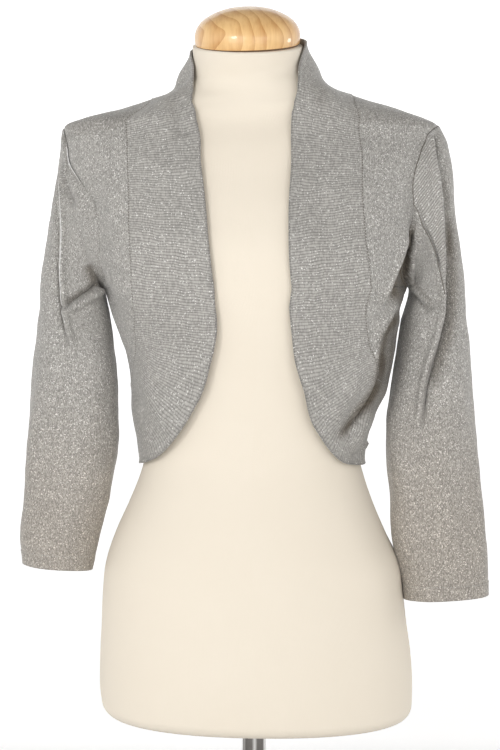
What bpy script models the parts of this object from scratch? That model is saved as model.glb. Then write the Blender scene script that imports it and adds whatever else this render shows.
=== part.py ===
"""Open-front bolero cardigan with three-quarter sleeves, on a limbless dress form with its stand.

The cloth is laid out in body coordinates: a turn round the body in degrees from the front centre,
positive towards +X, and a height above the floor. A table of sections gives the form at each height,
a second table how far the cloth stands off it, and every panel is a patch between two seam lines.
The opening faces -Y. Sizes in the tables are millimetres.
"""

import math

import bmesh
import bpy
from mathutils import Vector

MM = 0.001

# Cloth
KNIT_WALL = 1.5 * MM
BAND_WALL = 2.0 * MM
SEAM_GAP = 0.3 * MM
SEAM_SLANT = 1.4
BAND_ACROSS = 5
SIDE_ROWS = 9
ARMHOLE_ROWS = 12
ARMHOLE_CROWDING = 1.25
SHOULDER_COLUMNS = 5
NECK_COLUMNS = 6
CORNER_ROWS = 4
SLEEVE_SEAM_RISE = 1.5 * MM
SLEEVE_SEAM_OUT = 2.7 * MM
SLEEVE_SEAM_ALONG = 1.8 * MM
SLEEVE_BLEND_ROWS = 4
SLEEVE_BLEND_SHARE = 0.35
SLEEVE_SQUARENESS = 2.2
SHOULDER_RISE_FROM = 740
BACK_RISE_ROWS = 14

# Dress form
FORM_AROUND = 40
RIM_RADIUS = 9 * MM
RIM_STEPS = 3

# Neck cap
CAP_AROUND = 32

# Stand
POLE_RADIUS = 12.5 * MM
BASE_RADIUS = 140 * MM
BASE_THICKNESS = 12 * MM
BASE_EDGE = 2.5 * MM
STAND_AROUND = 48
REST_GAP = 0.3 * MM
MERGE_DISTANCE = 0.05 * MM
SHARP_ANGLE = math.radians(40)

# Sections of the form. minus_x and plus_x are reaches from x = 0, front and back from y = 0,
# square is the exponent of the section's outline and lean its forward tilt as a slope.
FORM_COLUMNS = ("height", "minus_x", "plus_x", "front", "back", "square", "lean")
FORM = (
    (212, 168, 168, 108, 116, 2.2, 0),
    (243, 169.5, 169.5, 112, 120, 2.2, 0),
    (275, 166, 167, 113, 121, 2.2, 0),
    (307, 163, 163, 112, 120, 2.2, 0),
    (340, 163, 160, 110, 117, 2.2, 0),
    (372, 159.5, 155, 107, 111, 2.2, 0),
    (405, 149, 139, 102, 102, 2.15, 0),
    (437, 135, 125, 96, 91, 2.1, 0),
    (469, 122, 114.5, 89, 81, 2.1, 0),
    (486, 117.5, 112, 87, 77, 2.1, 0),
    (520, 119, 118, 90, 77, 2.1, 0),
    (560, 124, 129, 98, 80, 2.15, 0),
    (600, 131, 139, 109, 86, 2.2, 0),
    (640, 143, 147, 120, 92, 2.25, 0),
    (667, 150, 150, 124, 95, 2.3, 0),
    (700, 157, 157, 123, 98, 2.3, 0),
    (740, 166, 164, 112, 101, 2.3, 0),
    (780, 180, 176, 95, 98, 2.3, 0),
    (810, 190, 186, 82, 92, 2.25, 0),
    (839, 189, 185, 67, 78, 2.2, 0),
    (847.2, 175.5, 173.5, 65, 75, 2.15, 0),
    (856.9, 143, 151, 64, 73, 2.1, 0),
    (865.5, 117, 123, 62, 69, 2.05, 0),
    (871.5, 95, 104, 61, 66, 2.0, 0),
    (876, 84, 90, 60.5, 64, 2.0, 0),
    (882, 75, 77, 61, 61, 2.0, 0.02),
    (890, 68, 63, 62, 57, 2.0, 0.06),
    (900, 65.5, 55.5, 64.5, 53.5, 2.0, 0.13),
    (912, 64.5, 53, 68, 48.5, 2.0, 0.22),
    (927, 64.5, 53, 72, 44, 2.0, 0.29),
    (945, 64.5, 53, 76.5, 39, 2.0, 0.29),
)
FORM_TOP = 927
FORM_RINGS = (
    232, 252, 275, 307, 340, 372, 405, 437, 469, 495, 525, 560, 600, 640, 667, 700, 740, 780, 810, 830,
    839, 847.2, 856.9, 865.5, 871.5, 876, 882, 890, 900, 912, 927,
)

# How far the cloth's inside stands off the form on each side.
EASE_COLUMNS = ("height", "minus_x", "plus_x", "front", "back")
EASE = (
    (470, 2.5, 4, 3, 3),
    (502, 5, 5.5, 6, 4),
    (534, 8.5, 8.5, 8, 5),
    (567, 6.5, 12, 8, 5),
    (599, 5.5, 10.5, 6, 5),
    (631, 9.5, 8, 4, 4),
    (667, 10, 9, 2.5, 4),
    (700, 12, 11, 2.5, 4),
    (740, 13, 12, 3, 4),
    (780, 12, 12, 3, 3),
    (810, 10, 10, 2.5, 2.5),
    (839, 11, 10, 4, 6),
    (849, 6.5, 7, 3, 4),
    (858, 4.2, 4.2, 2, 2.2),
    (876, 4, 4, 2, 2),
    (890, 2.5, 2.5, 2, 2),
    (945, 2, 2, 2, 2),
)

# The band of each front, from the centre of the back neck over the shoulder and down to the side seam.
# The seam joins it to the back and front panels and the edge is free. bend and lift are how far its
# middle and its edge stand off the cloth's surface.
BAND_COLUMNS = ("seam_turn", "seam_height", "edge_turn", "edge_height", "bend", "lift")
BANDS = {
    "right": (
        (180, 852, 180, 920, 5, 4),
        (148, 853, 150, 920, 6, 4),
        (118, 859, 122, 922, 8, 3),
        (90, 867.5, 94, 923, 9, 1),
        (66, 864.5, 72, 908, 9, 2),
        (48, 855, 52, 886, 7, 3),
        (39.5, 843, 29, 862, 4, 3.5),
        (38, 826, 15, 838, 2, 3),
        (38, 800, 12.8, 800, 1, 3),
        (40, 765, 12.4, 760, 0.5, 2.5),
        (43, 730, 12.4, 722, 0, 2),
        (45.5, 695, 12.2, 685, 0, 2),
        (49, 660, 12.4, 652, 0, 2),
        (55, 629, 14, 624, 0, 3),
        (61.5, 607, 19, 590, 0, 3),
        (66, 594, 25, 551, 1, 3),
        (71, 583, 34, 520, 1, 3),
        (77, 573, 48, 495, 1, 2),
        (83, 565, 66, 483.5, 0.5, 1),
        (90, 558, 90, 478, 0, 0),
    ),
    "left": (
        (180, 852, 180, 920, 5, 4),
        (148, 854, 150, 922, 6, 4),
        (118, 862, 122, 927, 8, 3),
        (90, 873.5, 94, 932, 8, 1),
        (66, 870, 72, 915, 8, 2),
        (46, 861, 48, 892, 6, 3),
        (35.5, 850, 23.5, 872, 4, 3.5),
        (31.3, 832, 11, 841, 2, 3),
        (32, 806, 9.5, 808, 1, 3),
        (33.7, 770, 9.4, 765, 0.5, 2.5),
        (37, 733, 9.5, 725, 0, 2),
        (40.5, 697, 9.9, 688, 0, 2),
        (44, 660, 10.7, 654, 0, 2),
        (46, 626, 10.9, 622, 0, 3),
        (48.3, 604, 12.7, 586, 0, 3),
        (51.5, 588, 21, 546, 1, 3),
        (56, 577, 30, 518, 1, 3),
        (64, 570, 46, 489, 1, 2),
        (74, 565, 62, 480.5, 0.5, 1),
        (84, 562, 84, 479, 0, 0),
    ),
}
SHOULDER_STATION = 3
CORNER_STATION = 18.4
CORNER_RISE = 2

# Armhole seams, from the underarm point up to the shoulder tip.
ARMHOLE_COLUMNS = ("height", "front_turn", "back_turn")
ARMHOLES = {
    "right": (
        (667, 90, 90),
        (676, 80, 100),
        (690, 72, 108),
        (725, 66, 114),
        (749, 64.5, 115),
        (766, 66, 114),
        (787, 73, 111),
        (805, 78, 106),
        (822, 81, 101),
        (833, 84, 96),
        (838, 90, 90),
    ),
    "left": (
        (667, 84, 84),
        (676, 78, 97),
        (690, 75, 107),
        (725, 72, 114),
        (754, 66, 115),
        (770, 61.5, 114),
        (793, 59.5, 110),
        (818, 64, 103),
        (835, 73, 96),
        (842, 90, 90),
    ),
}

# Outline of each sleeve seen from the front: the outer and the inner edge of each ring, half its
# depth from front to back, and how far forward of y = 0 its middle hangs.
SLEEVE_COLUMNS = ("outer_x", "outer_z", "inner_x", "inner_z", "half_depth", "forward")
SLEEVES = {
    "right": (
        (208, 812, 170, 664, 50, 0),
        (212, 788, 163.5, 654, 48, 0),
        (218, 754, 158.5, 640, 46, 1),
        (224, 715, 154.5, 622, 44, 2),
        (229, 676, 152, 605, 43, 3),
        (233.5, 630, 150.5, 580, 41.5, 4),
        (238, 585, 148.5, 552, 40, 5),
        (242, 540, 147.5, 518, 38, 6),
        (245, 495, 148.5, 487, 36.5, 7),
        (247, 455, 155.5, 453, 35, 8),
        (249.5, 425, 162, 422, 33, 8),
        (250.5, 395, 169, 391, 31, 8),
        (250, 371, 175.5, 363, 29.5, 8),
    ),
    "left": (
        (207, 812, 171, 664, 50, 0),
        (212, 785, 167, 656, 48, 0),
        (215, 750, 161.5, 641, 46, 1),
        (220, 710, 158, 627, 44, 2),
        (226, 670, 154.5, 606, 43, 3),
        (229, 625, 149, 578, 41.5, 4),
        (233, 580, 145, 552, 40, 5),
        (237, 535, 142, 520, 38, 6),
        (241.5, 490, 142, 483, 36.5, 8),
        (245, 450, 146, 448, 35, 10),
        (248, 415, 148.5, 415, 33, 12),
        (250.5, 388, 151, 388, 31.5, 14),
        (251.5, 362, 159.2, 360, 30, 15),
        (252.5, 337, 162.5, 333, 29.5, 15),
    ),
}

# Largest folds of the body panels, as soft troughs or ridges between two places on the body.
# depth is positive for a ridge. TURN_ARC is the length of cloth that one degree of turn takes, and
# FOLD_REACH and FOLD_FADE say how a fold dies away towards its two ends.
FOLD_COLUMNS = ("turn_a", "height_a", "turn_b", "height_b", "width", "depth")
FOLDS = (
    (76, 745, 72, 672, 16, -7),
    (62, 592, 44, 512, 13, -5),
    (50, 600, 33, 520, 13, 3),
    (-84, 700, -70, 640, 14, -4),
    (150, 700, 128, 560, 26, 4),
    (-152, 720, -130, 560, 28, 4),
    (176, 640, 170, 480, 30, -2),
)
TURN_ARC = 2.2
FOLD_REACH = 1.15
FOLD_FADE = 1.6

# Largest folds of the sleeves. Each runs between two turns round the sleeve, in degrees from its
# outer edge forward, and between two rows of the table above.
SLEEVE_FOLD_COLUMNS = ("side", "turn_a", "row_a", "turn_b", "row_b", "width", "depth")
SLEEVE_FOLDS = (
    ("right", 30, 0.5, 58, 4.5, 14, -5),
    ("right", 50, 0.5, 80, 4.5, 14, 2.5),
    ("right", 165, 1, 95, 2.6, 14, -4),
    ("right", 110, 4, 120, 10, 22, -2),
    ("right", 255, 1, 225, 8, 22, -3),
    ("left", 46, 0.5, 92, 7.5, 14, -6),
    ("left", 68, 0.5, 112, 7.5, 13, 3),
    ("left", 170, 1.5, 112, 3, 14, -4),
    ("left", 250, 1, 220, 8, 22, -3),
)
SLEEVE_ROW_TURN = 14

# Turned outline of the wooden cap, from the crown down to the foot.
CAP_COLUMNS = ("radius", "height")
CAP = ((0, 40), (15, 39), (28, 36.5), (40, 31.5), (49.5, 24), (54.5, 16), (56.3, 9), (56, 3), (54.8, 0))

COLORS = {
    "knit": (0.42, 0.415, 0.40),
    "band": (0.44, 0.435, 0.42),
    "jersey": (0.86, 0.82, 0.73),
    "wood": (0.78, 0.52, 0.28),
    "steel": (0.55, 0.55, 0.56),
}


def tangents(stops, values):
    """Slopes of a smooth curve through the values that never overshoots them."""
    steps = [
        (values[i + 1] - values[i]) / (stops[i + 1] - stops[i]) for i in range(len(stops) - 1)
    ]
    found = [steps[0]]
    for before, after in zip(steps, steps[1:]):
        found.append(0.0 if before * after <= 0 else (before + after) / 2)
    found.append(steps[-1])
    for i, step in enumerate(steps):
        if step == 0:
            found[i] = 0.0
            found[i + 1] = 0.0
            continue
        reach = math.hypot(found[i] / step, found[i + 1] / step)
        if reach > 3:
            found[i] *= 3 / reach
            found[i + 1] *= 3 / reach
    return found


class Curves:
    """A table whose named columns are read as smooth curves of its first column or of its row number."""

    def __init__(self, columns, rows, by_row=False):
        self.stops = list(range(len(rows))) if by_row else [row[0] for row in rows]
        self.columns = {}
        for index, name in enumerate(columns):
            values = [row[index] for row in rows]
            self.columns[name] = (values, tangents(self.stops, values))

    def read(self, name, at):
        values, slopes = self.columns[name]
        at = min(max(at, self.stops[0]), self.stops[-1])
        i = max(k for k in range(len(self.stops) - 1) if self.stops[k] <= at)
        span = self.stops[i + 1] - self.stops[i]
        t = (at - self.stops[i]) / span
        return (
            (2 * t**3 - 3 * t**2 + 1) * values[i]
            + (t**3 - 2 * t**2 + t) * span * slopes[i]
            + (3 * t**2 - 2 * t**3) * values[i + 1]
            + (t**3 - t**2) * span * slopes[i + 1]
        )


FORM_CURVES = Curves(FORM_COLUMNS, FORM)
EASE_CURVES = Curves(EASE_COLUMNS, EASE)
BAND_CURVES = {side: Curves(BAND_COLUMNS, rows, by_row=True) for side, rows in BANDS.items()}
ARMHOLE_CURVES = {side: Curves(ARMHOLE_COLUMNS, rows) for side, rows in ARMHOLES.items()}
SLEEVE_CURVES = {side: Curves(SLEEVE_COLUMNS, rows, by_row=True) for side, rows in SLEEVES.items()}

# The wearer's right side lies at -X, which is the left of a front view.
SIGN = {"right": -1, "left": 1}


def smooth(value):
    """0 to 1 with level ends."""
    value = min(max(value, 0.0), 1.0)
    return value * value * (3 - 2 * value)


def mix(a, b, share):
    return a + (b - a) * share


def section_point(turn, height, stand_off=0.0, dressed=True):
    """A point on the form, or on the inside of the cloth, in metres."""
    reach = {name: FORM_CURVES.read(name, height) for name in FORM_COLUMNS[1:]}
    if dressed:
        for name in EASE_COLUMNS[1:]:
            reach[name] += EASE_CURVES.read(name, height)
    half_width = (reach["minus_x"] + reach["plus_x"]) / 2 + stand_off
    half_depth = (reach["front"] + reach["back"]) / 2 + stand_off
    power = 2 / reach["square"]
    sine = math.sin(math.radians(turn))
    cosine = math.cos(math.radians(turn))
    across = half_width * math.copysign(abs(sine) ** power, sine)
    along = -half_depth * math.copysign(abs(cosine) ** power, cosine)
    x = (reach["plus_x"] - reach["minus_x"]) / 2 + across
    y = (reach["back"] - reach["front"]) / 2 + along
    return Vector((x, y, height + reach["lean"] * along)) * MM


def fold_share(place, start, end, width):
    """How much of a fold's depth is felt at a place: full on its line, fading across and at its ends."""
    line = end - start
    along = (place - start).dot(line) / line.length_squared
    nearest = start + line * min(max(along, 0.0), 1.0)
    across = (place - nearest).length / width
    return math.exp(-across * across) * smooth(FOLD_REACH - abs(along - 0.5) * FOLD_FADE)


def body_relief(turn, height):
    """Stand-off that the folds add at a place on the body."""
    total = 0.0
    place = Vector((turn * TURN_ARC, height))
    for turn_a, height_a, turn_b, height_b, width, depth in FOLDS:
        start = Vector((turn_a * TURN_ARC, height_a))
        end = Vector((turn_b * TURN_ARC, height_b))
        total += depth * fold_share(place, start, end, width)
    return total


def cloth_point(turn, height, stand_off=0.0):
    turn_folded = turn - 360 if turn > 180 else turn
    return section_point(turn, height, stand_off + body_relief(turn_folded, height))


def cloth_normal(turn, height):
    """Outward direction of the cloth's surface."""
    step = 0.5
    round_it = cloth_point(turn + step, height) - cloth_point(turn - step, height)
    up_it = cloth_point(turn, height + step) - cloth_point(turn, height - step)
    return round_it.cross(up_it).normalized()


def band_place(side, station, across):
    """Turn, height and stand-off on a band, from its seam at 0 to its free edge at 1."""
    read = BAND_CURVES[side].read
    turn = mix(read("seam_turn", station), read("edge_turn", station), across)
    height = mix(read("seam_height", station), read("edge_height", station), across)
    bend = read("bend", station) * math.sin(math.pi * across) ** 2
    return turn, height, bend + read("lift", station) * across**2


def station_at_height(side, height):
    """The station below the shoulder where the band's seam passes a height."""
    low, high = SHOULDER_STATION, len(BANDS[side]) - 1
    for _ in range(40):
        middle = (low + high) / 2
        if BAND_CURVES[side].read("seam_height", middle) > height:
            low = middle
        else:
            high = middle
    return low


def armhole_heights(side):
    """Heights of the armhole's points from the underarm to the shoulder tip, closer at both ends."""
    low, high = ARMHOLES[side][0][0], ARMHOLES[side][-1][0]
    heights = []
    for k in range(ARMHOLE_ROWS + 1):
        to_tip = (1 + math.cos(math.pi * k / ARMHOLE_ROWS)) / 2
        heights.append(mix(high, low, to_tip**ARMHOLE_CROWDING))
    return heights


def front_rows(side):
    """Pairs of band station and outer place for each row of a front, from its low corner up."""
    last = len(BANDS[side]) - 1
    corner_height = BANDS[side][last][1]
    side_turn = ARMHOLES[side][0][1]
    seam_start = BAND_CURVES[side].read("seam_height", CORNER_STATION)
    armhole = armhole_heights(side)
    tip, top = armhole[-1], BANDS[side][SHOULDER_STATION][1]
    rows = []
    underarm = station_at_height(side, armhole[0])
    for k in range(SIDE_ROWS):
        station = mix(CORNER_STATION, underarm, k / SIDE_ROWS)
        seam_height = BAND_CURVES[side].read("seam_height", station)
        share = (seam_height - seam_start) / (armhole[0] - seam_start)
        rows.append((station, side_turn, mix(corner_height + CORNER_RISE, armhole[0], share)))
    for height in armhole:
        rise = smooth((height - SHOULDER_RISE_FROM) / (tip - SHOULDER_RISE_FROM))
        seam_height = height + (top - tip) * rise
        station = SHOULDER_STATION if height == tip else station_at_height(side, seam_height)
        turn = ARMHOLE_CURVES[side].read("front_turn", height)
        rows.append((station, turn, height))
    return rows


def band_stations(side):
    """Stations of a band: round the neck, shared with the front's rows, then to the side seam."""
    last = len(BANDS[side]) - 1
    neck = [SHOULDER_STATION * k / NECK_COLUMNS for k in range(NECK_COLUMNS)]
    shared = [row[0] for row in reversed(front_rows(side))]
    end = shared[-1]
    corner = [mix(end, last, (k + 1) / CORNER_ROWS) for k in range(CORNER_ROWS)]
    return neck + shared + corner


def inward(border, inner, k):
    """Direction across a border into its panel at the border's point k."""
    line = (border[min(k + 1, len(border) - 1)] - border[max(k - 1, 0)]).normalized()
    step = inner[k] - border[k]
    return (step - line * step.dot(line)).normalized()


def part_edges(rows, left=True, right=True, low=True, high=True):
    """Draws a grid's borders in by half the seam gap, so that neighbours stay apart."""
    inset = SEAM_GAP / 2 * SEAM_SLANT
    moved = [list(row) for row in rows]
    columns = [list(column) for column in zip(*rows)]
    for r in range(len(rows)):
        if left:
            moved[r][0] = moved[r][0] + inward(columns[0], columns[1], r) * inset
        if right:
            moved[r][-1] = moved[r][-1] + inward(columns[-1], columns[-2], r) * inset
    for c in range(len(columns)):
        if low:
            moved[0][c] = moved[0][c] + inward(rows[0], rows[1], c) * inset
        if high:
            moved[-1][c] = moved[-1][c] + inward(rows[-1], rows[-2], c) * inset
    return moved


def material(name, roughness, metallic=0.0):
    found = bpy.data.materials.get(name)
    if found:
        return found
    made = bpy.data.materials.new(name)
    made.use_nodes = True
    shader = made.node_tree.nodes["Principled BSDF"]
    shader.inputs["Base Color"].default_value = (*COLORS[name], 1)
    shader.inputs["Roughness"].default_value = roughness
    shader.inputs["Metallic"].default_value = metallic
    return made


def object_from(bm, name, collection, finish):
    mesh = bpy.data.meshes.new(name)
    bm.to_mesh(mesh)
    bm.free()
    mesh.shade_smooth()
    mesh.materials.append(finish)
    made = bpy.data.objects.new(name, mesh)
    collection.objects.link(made)
    return made


def grid_faces(bm, rows, around=False, flip=False):
    """Joins rows of points into faces; around closes each row on itself."""
    verts = [[bm.verts.new(point) for point in row] for row in rows]
    columns = len(rows[0]) if around else len(rows[0]) - 1
    for low, high in zip(verts, verts[1:]):
        for c in range(columns):
            n = (c + 1) % len(low)
            corners = [low[c], low[n], high[n], high[c]]
            bm.faces.new(reversed(corners) if flip else corners)
    return verts


def cloth(name, rows, collection, finish, wall, around=False, flip=False):
    """A wall of cloth whose inside is the grid of points."""
    bm = bmesh.new()
    grid_faces(bm, rows, around, flip)
    made = object_from(bm, name, collection, finish)
    solid = made.modifiers.new("wall", "SOLIDIFY")
    solid.thickness = wall
    solid.offset = 1
    return made


def make_front(side, collection, finish):
    """Front panel between the band's seam and the side seam, armhole and shoulder."""
    sign = SIGN[side]
    rows = []
    for station, turn, height in front_rows(side):
        seam_turn, seam_height, stand_off = band_place(side, station, 0)
        row = []
        for c in range(SHOULDER_COLUMNS + 1):
            share = c / SHOULDER_COLUMNS
            row.append(
                cloth_point(
                    sign * mix(seam_turn, turn, share),
                    mix(seam_height, height, share),
                    stand_off * (1 - share),
                )
            )
        rows.append(row)
    cloth(f"front_{side}", part_edges(rows), collection, finish, KNIT_WALL, flip=sign < 0)


def make_band(side, collection, finish):
    """Wide double band from the centre of the back neck to the side seam."""
    sign = SIGN[side]
    rows = []
    for station in band_stations(side):
        row = []
        for c in range(BAND_ACROSS + 1):
            turn, height, stand_off = band_place(side, station, c / BAND_ACROSS)
            row.append(cloth_point(sign * turn, height, stand_off))
        rows.append(row)
    parted = part_edges(rows, right=False)
    cloth(f"band_{side}", parted, collection, finish, BAND_WALL, flip=sign < 0)


def back_edge(side):
    """Places of the back's side edge from the hem up, along the band's end, front and armhole."""
    last = len(BANDS[side]) - 1
    places = []
    for c in range(BAND_ACROSS, -1, -1):
        turn, height, _ = band_place(side, last, c / BAND_ACROSS)
        places.append((turn, height))
    armhole = armhole_heights(side)
    for _, turn, height in front_rows(side)[1:SIDE_ROWS]:
        places.append((turn, height))
    for height in armhole:
        places.append((ARMHOLE_CURVES[side].read("back_turn", height), height))
    return places


def back_top(side):
    """Places along the back panel's top from the shoulder tip to the centre of the neck."""
    tip = ARMHOLES[side][-1][0]
    top = BANDS[side][SHOULDER_STATION][1]
    places = [(90, mix(tip, top, k / SHOULDER_COLUMNS)) for k in range(SHOULDER_COLUMNS)]
    for k in range(NECK_COLUMNS + 1):
        station = SHOULDER_STATION * (1 - k / NECK_COLUMNS)
        turn, height, _ = band_place(side, station, 0)
        places.append((turn, height))
    return places


def make_back(collection, finish):
    """Back panel in one piece, from side seam to side seam and up to the shoulders and neck."""
    halves = {}
    columns = SHOULDER_COLUMNS + NECK_COLUMNS
    for side, sign in SIGN.items():
        edge = back_edge(side)
        top = back_top(side)
        below = len(edge) - 1 - BACK_RISE_ROWS
        half = []
        for r, (turn, height) in enumerate(edge):
            rise = smooth((r - below) / BACK_RISE_ROWS)
            row = []
            for c in range(columns + 1):
                share = c / columns
                plain = Vector((mix(turn, 180, share), height))
                level = Vector((mix(top[0][0], 180, share), top[0][1]))
                place = plain + (Vector(top[c]) - level) * rise
                row.append(cloth_point(360 - place.x if sign < 0 else place.x, place.y))
            half.append(row)
        halves[side] = half
    rows = []
    for left, right in zip(halves["left"], halves["right"]):
        middle = (left[-1] + right[-1]) / 2
        rows.append(left[:-1] + [middle] + right[-2::-1])
    cloth("back", part_edges(rows, low=False), collection, finish, KNIT_WALL)


def sleeve_start(side):
    """Points just clear of the armhole, from the shoulder tip forward and round under the arm."""
    sign = SIGN[side]
    heights = armhole_heights(side)
    front = [("front_turn", height) for height in reversed(heights)]
    back = [("back_turn", height) for height in heights[1:-1]]
    points = []
    for column, height in front + back:
        turn = ARMHOLE_CURVES[side].read(column, height)
        out = Vector((sign, 0, 0))
        facing = max(cloth_normal(sign * turn, height).dot(out), 0)
        clear = SEAM_GAP * SEAM_SLANT + KNIT_WALL * facing
        points.append(cloth_point(sign * turn, height) + out * clear)
    return points


def sleeve_ring(side, row, around):
    """One ring of a sleeve's inside, in the plane between its outer and inner edge."""
    sign = SIGN[side]
    read = SLEEVE_CURVES[side].read
    outer = Vector((read("outer_x", row), 0, read("outer_z", row)))
    inner = Vector((read("inner_x", row), 0, read("inner_z", row)))
    middle = (outer + inner) / 2
    half_across = (outer - inner) / 2
    half_across -= half_across.normalized() * KNIT_WALL / MM
    half_depth = read("half_depth", row) - KNIT_WALL / MM
    power = 2 / SLEEVE_SQUARENESS
    ring = []
    for k in range(around):
        turn = 360 * k / around
        cosine = math.cos(math.radians(turn))
        sine = math.sin(math.radians(turn))
        relief = 1 + sleeve_relief(side, turn, row) / half_depth
        across = math.copysign(abs(cosine) ** power, cosine) * relief
        along = math.copysign(abs(sine) ** power, sine) * relief
        point = middle + half_across * across
        y = -read("forward", row) - half_depth * along
        ring.append(Vector((sign * point.x, y, point.z)) * MM)
    return ring


def sleeve_relief(side, turn, row):
    """Stand-off that the folds add at a place on a sleeve."""
    total = 0.0
    place = Vector((turn, row * SLEEVE_ROW_TURN))
    for where, turn_a, row_a, turn_b, row_b, width, depth in SLEEVE_FOLDS:
        if where == side:
            start = Vector((turn_a, row_a * SLEEVE_ROW_TURN))
            end = Vector((turn_b, row_b * SLEEVE_ROW_TURN))
            total += depth * fold_share(place, start, end, width)
    return total


def make_sleeve(side, collection, finish):
    """Three-quarter sleeve, an open tube from the armhole to the cuff."""
    sign = SIGN[side]
    start = sleeve_start(side)
    around = len(start)
    rows = [start]
    first = sleeve_ring(side, 0, around)
    outward = Vector((sign, 0, 0)) * SLEEVE_SEAM_OUT
    raised = []
    for seam, ideal in zip(start, first):
        along = (ideal - seam).normalized() * SLEEVE_SEAM_ALONG
        lift = Vector((0, 0, SLEEVE_SEAM_RISE if seam.z < ideal.z else 0))
        raised.append(seam + outward + along + lift)
    rows.append(raised)
    last = len(SLEEVES[side]) - 1
    for r in range(last + 1):
        ring = sleeve_ring(side, r, around)
        keep = max(1 - r / SLEEVE_BLEND_ROWS, 0) ** 2 * SLEEVE_BLEND_SHARE
        rows.append([point + (seam - ideal) * keep for point, seam, ideal in zip(ring, raised, first)])
    cloth(f"sleeve_{side}", rows, collection, finish, KNIT_WALL, around=True, flip=sign < 0)


def make_form(collection, finish):
    """Torso of the dress form with its neck, closed top and bottom."""
    turns = [360 * k / FORM_AROUND for k in range(FORM_AROUND)]
    rows = []
    bottom = FORM[0][0]
    for k in range(RIM_STEPS):
        angle = math.pi / 2 * k / RIM_STEPS
        draw_in = -RIM_RADIUS / MM * (1 - math.sin(angle))
        height = bottom + RIM_RADIUS / MM * (1 - math.cos(angle))
        ring = [section_point(turn, height, draw_in, dressed=False) for turn in turns]
        rows.append(ring)
    for height in FORM_RINGS:
        rows.append([section_point(turn, height, dressed=False) for turn in turns])
    bm = bmesh.new()
    verts = grid_faces(bm, rows, around=True)
    bm.faces.new(reversed(verts[0]))
    bm.faces.new(verts[-1])
    object_from(bm, "dress_form", collection, finish)


def turned(name, outline, steps, collection, finish):
    """A turned piece from an outline that runs from the top centre down to the bottom centre."""
    bm = bmesh.new()
    verts = [bm.verts.new((radius, 0, height)) for radius, height in outline]
    for a, b in zip(verts, verts[1:]):
        bm.edges.new((a, b))
    made = object_from(bm, name, collection, finish)
    turning = made.modifiers.new("turning", "SCREW")
    turning.steps = steps
    turning.render_steps = steps
    turning.use_merge_vertices = True
    turning.merge_threshold = MERGE_DISTANCE
    made.data.set_sharp_from_angle(angle=SHARP_ANGLE)
    return made


def make_cap(collection, finish):
    """Turned wooden cap on the neck, tilted forward with it."""
    rim = [section_point(turn, FORM_TOP, dressed=False) for turn in (0, 90, 180, 270)]
    centre = sum(rim, Vector()) / len(rim)
    lean = math.atan(FORM_CURVES.read("lean", FORM_TOP))
    outline = [(radius * MM, height * MM) for radius, height in CAP]
    outline.append((0, CAP[-1][1] * MM))
    made = turned("neck_cap", outline, CAP_AROUND, collection, finish)
    axis = Vector((0, -math.sin(lean), math.cos(lean)))
    made.location = centre + axis * REST_GAP
    made.rotation_euler = (lean, 0, 0)


def make_stand(collection, finish):
    """Steel pole under the form and the round base that it stands in."""
    form_bottom = FORM[0][0] * MM
    low = BASE_THICKNESS + REST_GAP
    high = form_bottom - REST_GAP
    outline = ((0, high), (POLE_RADIUS, high), (POLE_RADIUS, low), (0, low))
    turned("pole", outline, STAND_AROUND, collection, finish)
    side = BASE_RADIUS - BASE_EDGE
    shoulder = BASE_THICKNESS - BASE_EDGE
    outline = (
        (0, BASE_THICKNESS),
        (side, BASE_THICKNESS),
        (BASE_RADIUS, shoulder),
        (BASE_RADIUS, 0),
        (0, 0),
    )
    turned("base", outline, STAND_AROUND, collection, finish)


def main():
    for existing in list(bpy.data.objects):
        bpy.data.objects.remove(existing, do_unlink=True)
    collection = bpy.data.collections.new("bolero_on_dress_form")
    bpy.context.scene.collection.children.link(collection)
    knit = material("knit", 0.7, 0.3)
    band = material("band", 0.7, 0.3)
    make_back(collection, knit)
    for side in SIGN:
        make_front(side, collection, knit)
        make_sleeve(side, collection, knit)
        make_band(side, collection, band)
    make_form(collection, material("jersey", 0.9))
    make_cap(collection, material("wood", 0.35))
    make_stand(collection, material("steel", 0.25, 1.0))


main()
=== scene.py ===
"""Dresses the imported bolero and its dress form: knit cloth with folds and seams, a jersey-covered
form, a varnished wooden cap, a steel stand and a pale studio.

Tables are in millimetres. The cloth is laid out in body coordinates: a turn round the body in
degrees from the front centre, positive towards +X, and a height above the floor. Creases are drawn
on the side that they are seen from, as lines of x (or y) and z.
"""

import math
from collections import namedtuple

import bmesh
import bpy
import numpy as np
from bpy.props import FloatProperty, FloatVectorProperty, IntProperty, PointerProperty
from mathutils import Matrix, Vector
from mathutils.bvhtree import BVHTree


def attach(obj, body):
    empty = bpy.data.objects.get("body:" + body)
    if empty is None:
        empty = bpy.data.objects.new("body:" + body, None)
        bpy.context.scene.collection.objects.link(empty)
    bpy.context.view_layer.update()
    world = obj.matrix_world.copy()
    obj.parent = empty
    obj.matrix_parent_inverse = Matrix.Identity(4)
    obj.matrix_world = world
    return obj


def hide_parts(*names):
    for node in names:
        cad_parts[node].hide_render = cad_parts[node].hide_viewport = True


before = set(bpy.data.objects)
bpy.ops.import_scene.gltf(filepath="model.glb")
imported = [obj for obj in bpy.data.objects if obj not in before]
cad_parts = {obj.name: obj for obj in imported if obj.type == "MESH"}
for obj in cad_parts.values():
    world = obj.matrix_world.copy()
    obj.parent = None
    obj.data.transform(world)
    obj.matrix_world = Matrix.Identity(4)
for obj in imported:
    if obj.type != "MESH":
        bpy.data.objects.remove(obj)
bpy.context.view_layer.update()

bl_info = {
    "name": "Bolero on a dress form",
    "version": (1, 0, 0),
    "blender": (4, 5, 0),
    "location": "View3D > Sidebar > Bolero",
    "description": "Cropped glitter-knit bolero with a shawl band, on a dress form with its stand",
    "category": "Add Mesh",
}

MM = 0.001

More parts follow.
